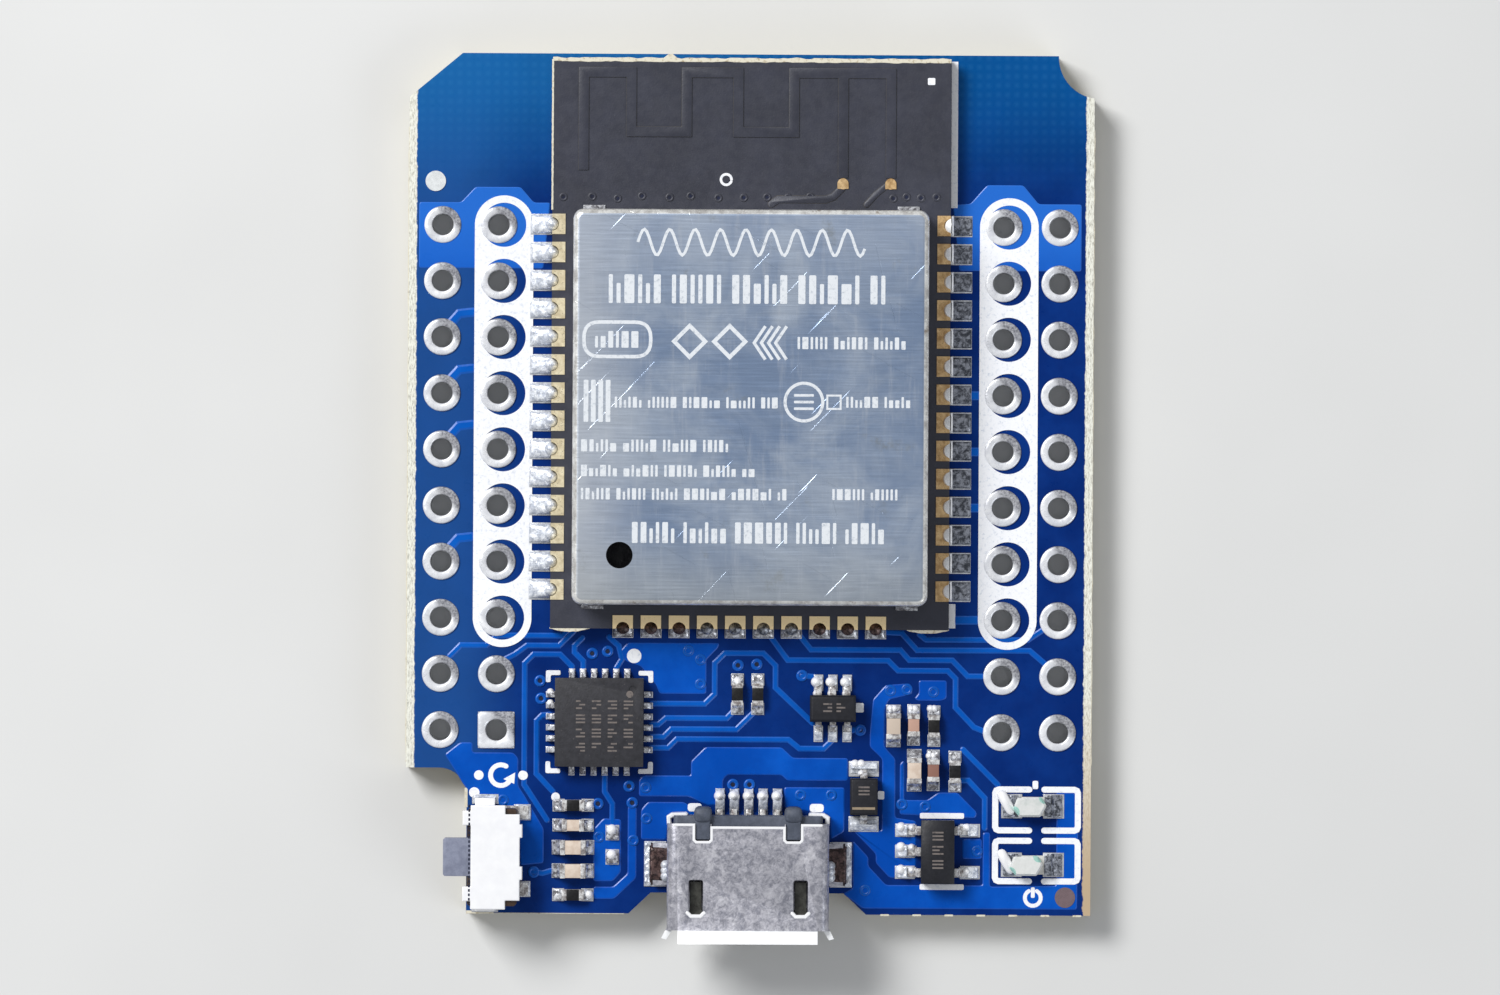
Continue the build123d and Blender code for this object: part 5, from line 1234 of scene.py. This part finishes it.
def lamp_details():
    """Six-sided milky lenses, and at the left of each lamp a slanted pad of solder, near-white as a painted
    highlight.
    """
    low, high = box("led_lenses")
    lenses, slants = Shape(), Shape()
    for x, y in ((12.75, -14.76), (12.6, -17.42)):
        outline = [(x - 0.78, y - 0.12), (x - 0.5, y - 0.46), (x + 0.45, y - 0.46), (x + 0.74, y + 0.05)]
        outline += [(x + 0.5, y + 0.44), (x - 0.6, y + 0.4)]
        lenses.plate(rounded(outline, 0.08, 3), low.z, high.z, 0.09, 0.12)
        slant = [(11.48, y + 0.5), (11.72, y + 0.1), (11.88, y - 0.16)]
        slants.plate(strip(slant, 0.46), PAD_TOP, PAD_TOP + 0.36, 0.07, 0.12)
    piece("lamp_lenses", lenses, "clear_resin", replaces="led_lenses")
    # painted highlight: the slanted solder is near-white
    piece("lamp_slanted_solder", slants, "bright_sheet", smooth=True)


# single heaps: x, y, radius, height
LONE_HEAPS = (
    (4.82, -12.9, 0.22, 0.3), (5.1, -12.88, 0.2, 0.28), (5.1, -13.3, 0.16, 0.42), (-6.17, -15.93, 0.26, 0.3),
    (-6.17, -17.05, 0.25, 0.3), (-0.5, -9.15, 0.2, 0.3), (-8.98, -9.7, 0.17, 0.2), (-8.98, -10.2, 0.17, 0.2),
    (9.9, -15.75, 0.2, 0.3), (9.9, -17.72, 0.2, 0.3),
)


def bright_heaps():
    """Round heaps of solder at the upper ends of leads and end caps, and half-discs at the module's
    right-hand pads, near-white as painted light.
    """
    spots = [(-1.3 + 0.65 * place, -14.36, 0.26, 0.5) for place in range(5)]
    spots += [(-8.01 + 0.5 * place, -8.78, 0.15, 0.2) for place in range(6)]
    spots += [(-4.52, -9.8 - 0.5 * place, 0.12, 0.2) for place in range(6)]
    spots += [(-7.2, y, 0.2, 0.3) for y in (-14.83, -15.8, -16.84, -17.9, -18.85)]
    for place in range(3):
        spots += [(3.04 + 0.66 * place, -9.18, 0.24, 0.36), (3.05 + 0.66 * place, -9.7, 0.16, 0.42)]
    for y in (-15.74, -16.64, -17.66):
        spots += [(6.92, y, 0.24, 0.34), (7.4, y, 0.17, 0.42)]
    for x, y in ((6.45, -10.36), (7.38, -10.36), (8.26, -10.36), (8.22, -12.5)):
        spots += [(x - 0.04, y, 0.17, 0.32), (x + 0.13, y, 0.17, 0.28)]
    heaps = Shape()
    for x, y, radius, height in [*spots, *LONE_HEAPS]:
        heaps.dome((x, y), radius, PAD_TOP, height)
    # painted light: the near-white half-discs at the right-hand pads stand out though they lie in the can's
    # shadow
    for y in SIDE_PADS_Y:
        half_disc = arc((MODULE_HIGH.x + 0.14, y), 0.46, 90, 270, 14)
        heaps.plate(half_disc, PAD_TOP, MODULE_TOP + 0.06, 0.12, 0.16)
    piece("bright_heaps", heaps, "bright_sheet", smooth=True)


def edge_burrs():
    """Bits of bare laminate left where the board was broken out of its panel."""
    burrs = Shape()
    low, high = BOARD_TOP - 0.14, BOARD_TOP + 0.004
    edge = BOARD_LOW.y
    for step in range(7):
        x = 6.2 + 1.45 * step
        bit = rounded(rectangle(x - 0.2, edge - 0.06, x + 0.2, edge + 0.03), 0.03, 2)
        burrs.plate(bit, low - 0.4, high, 0.008)
    burrs.plate(rectangle(-12.75, edge - 0.05, -11.5, edge + 0.1), low, high, 0.01)
    burrs.plate(rectangle(-11.3, edge - 0.03, -5.6, edge + 0.02), low, high - 0.01, 0.004)
    burrs.plate(rounded(rectangle(-12.84, -14.95, -12.7, -14.05), 0.04, 3), low, high, 0.01)
    for side in (-1, 1):
        outer, inner = [], []
        for step in range(116):
            y = -12.9 + 0.25 * step
            out = 0.03 + 0.03 * rough(41, side * 5, y * 1.3) + 0.02 * rough(43, side * 5, y * 5)
            outer.append((side * (BOARD_HIGH.x + out), y))
            inner.append((side * (BOARD_HIGH.x - 0.05), y))
        burrs.plate(outer + inner[::-1], low - 1.0, high - 0.02, 0.006)
    piece("edge_burrs", burrs, "bare_laminate")


usb_details()
usb_tab_joints()
switch_details()
lamp_details()
bright_heaps()
edge_burrs()


# ------------------------------------------------ print on the packages


def chip_strokes(shape, draw, low_x, high_x, low_y, y, top):
    """A column of short thin strokes lying side by side, in place of print that runs down a package."""
    count = 0
    while y > low_y + 0.08:
        cut = draw.choice((0.0, 0.0, 0.35, 0.5)) * (high_x - low_x)
        left = low_x + (cut if count % 2 else 0)
        right = high_x - (0 if count % 2 else cut)
        shape.plate(rectangle(left, y - 0.075, right, y), top - 0.005, top + 0.006)
        count += 1
        y -= 0.32 if count % 3 == 0 else 0.16


def package_marks():
    """Faint printed marks on the moulded packages: thin strokes, a dot and one bar."""
    marks, band = Shape(), Shape()
    draw = random.Random(9)
    top = CHIP_HIGH.z
    for column in range(4):
        x = CHIP_LOW.x + 0.95 + column * 0.72
        foot = CHIP_LOW.y + 0.6 + 0.2 * (column % 2)
        chip_strokes(marks, draw, x, x + 0.42, foot, CHIP_HIGH.y - 1.0, top)
    marks.plate(circle((CHIP_HIGH.x - 0.62, CHIP_HIGH.y - 0.72), 0.16, 16), top - 0.005, top + 0.006)
    low, high = box("regulator_body")
    chip_strokes(marks, draw, low.x + 0.5, low.x + 1.0, low.y + 0.5, high.y - 0.5, high.z)
    low, high = box("transistor_pair_body")
    for x in (low.x + 0.6, low.x + 1.2):
        chip_strokes(marks, draw, x, x + 0.4, low.y + 0.35, high.y - 0.35, high.z)
    low, high = box("diode_body")
    chip_strokes(marks, draw, low.x + 0.38, low.x + 0.88, low.y + 0.7, high.y - 0.35, high.z)
    piece("package_print", marks, "chip_print")
    bar = rectangle(low.x + 0.1, low.y + 0.26, high.x - 0.12, low.y + 0.37)
    band.plate(bar, high.z - 0.005, high.z + 0.006)
    piece("diode_band", band, "diode_band")


package_marks()


# ------------------------------------------------ camera, lights and floor

PICTURE_WIDTH = 67.4
CAMERA_HEIGHT = 450.0
CAMERA_CENTRE = (0.0, -0.85)
CAMERA_TURN = 0.32
SENSOR = 36.0


def staged(name, data, place=(0, 0, 0)):
    thing = bpy.data.objects.new(name, data)
    bpy.context.scene.collection.objects.link(thing)
    thing.location = Vector(place) * MM
    return thing


def area_light(name, place, size, watts, tone):
    """A soft rectangular lamp that faces the board, its place and size in millimetres."""
    data = bpy.data.lights.new(name, "AREA")
    data.shape = "RECTANGLE"
    data.size, data.size_y = size[0] * MM, size[1] * MM
    data.energy = watts
    data.color = tone
    lamp = staged(name, data, place)
    lamp.rotation_euler = (-lamp.location).to_track_quat("-Z", "Y").to_euler()


def studio():
    world = bpy.data.worlds.new("studio_world")
    bpy.context.scene.world = world
    world.use_nodes = True
    back = world.node_tree.nodes["Background"]
    back.inputs["Color"].default_value = (0.93, 0.95, 1.0, 1)
    back.inputs["Strength"].default_value = 0.36
    area_light("key_light", (-270, 250, 340), (230, 180), 2.6, (1, 1, 1))
    area_light("rim_light", (250, -160, 160), (200, 120), 0.25, (0.92, 0.96, 1))

    floor = Shape()
    floor.plate(rounded(rectangle(-400, -400, 400, 400), 40), -3, -0.02)
    ground = bpy.data.meshes.new("floor")
    ground.from_pydata([Vector(corner) * MM for corner in floor.corners], [], floor.faces)
    ground.materials.append(MATERIALS["floor"])
    staged("floor", ground)


def camera():
    """A long lens straight above the board."""
    data = bpy.data.cameras.new("camera")
    data.sensor_width = SENSOR
    data.lens = SENSOR * (CAMERA_HEIGHT - CAN_HIGH.z) / PICTURE_WIDTH
    data.clip_start = 0.01
    data.clip_end = 10
    thing = staged("camera", data, (*CAMERA_CENTRE, CAMERA_HEIGHT))
    thing.rotation_euler = (0, 0, math.radians(CAMERA_TURN))
    bpy.context.scene.camera = thing


studio()
camera()
bpy.context.scene.view_settings.view_transform = "Standard"
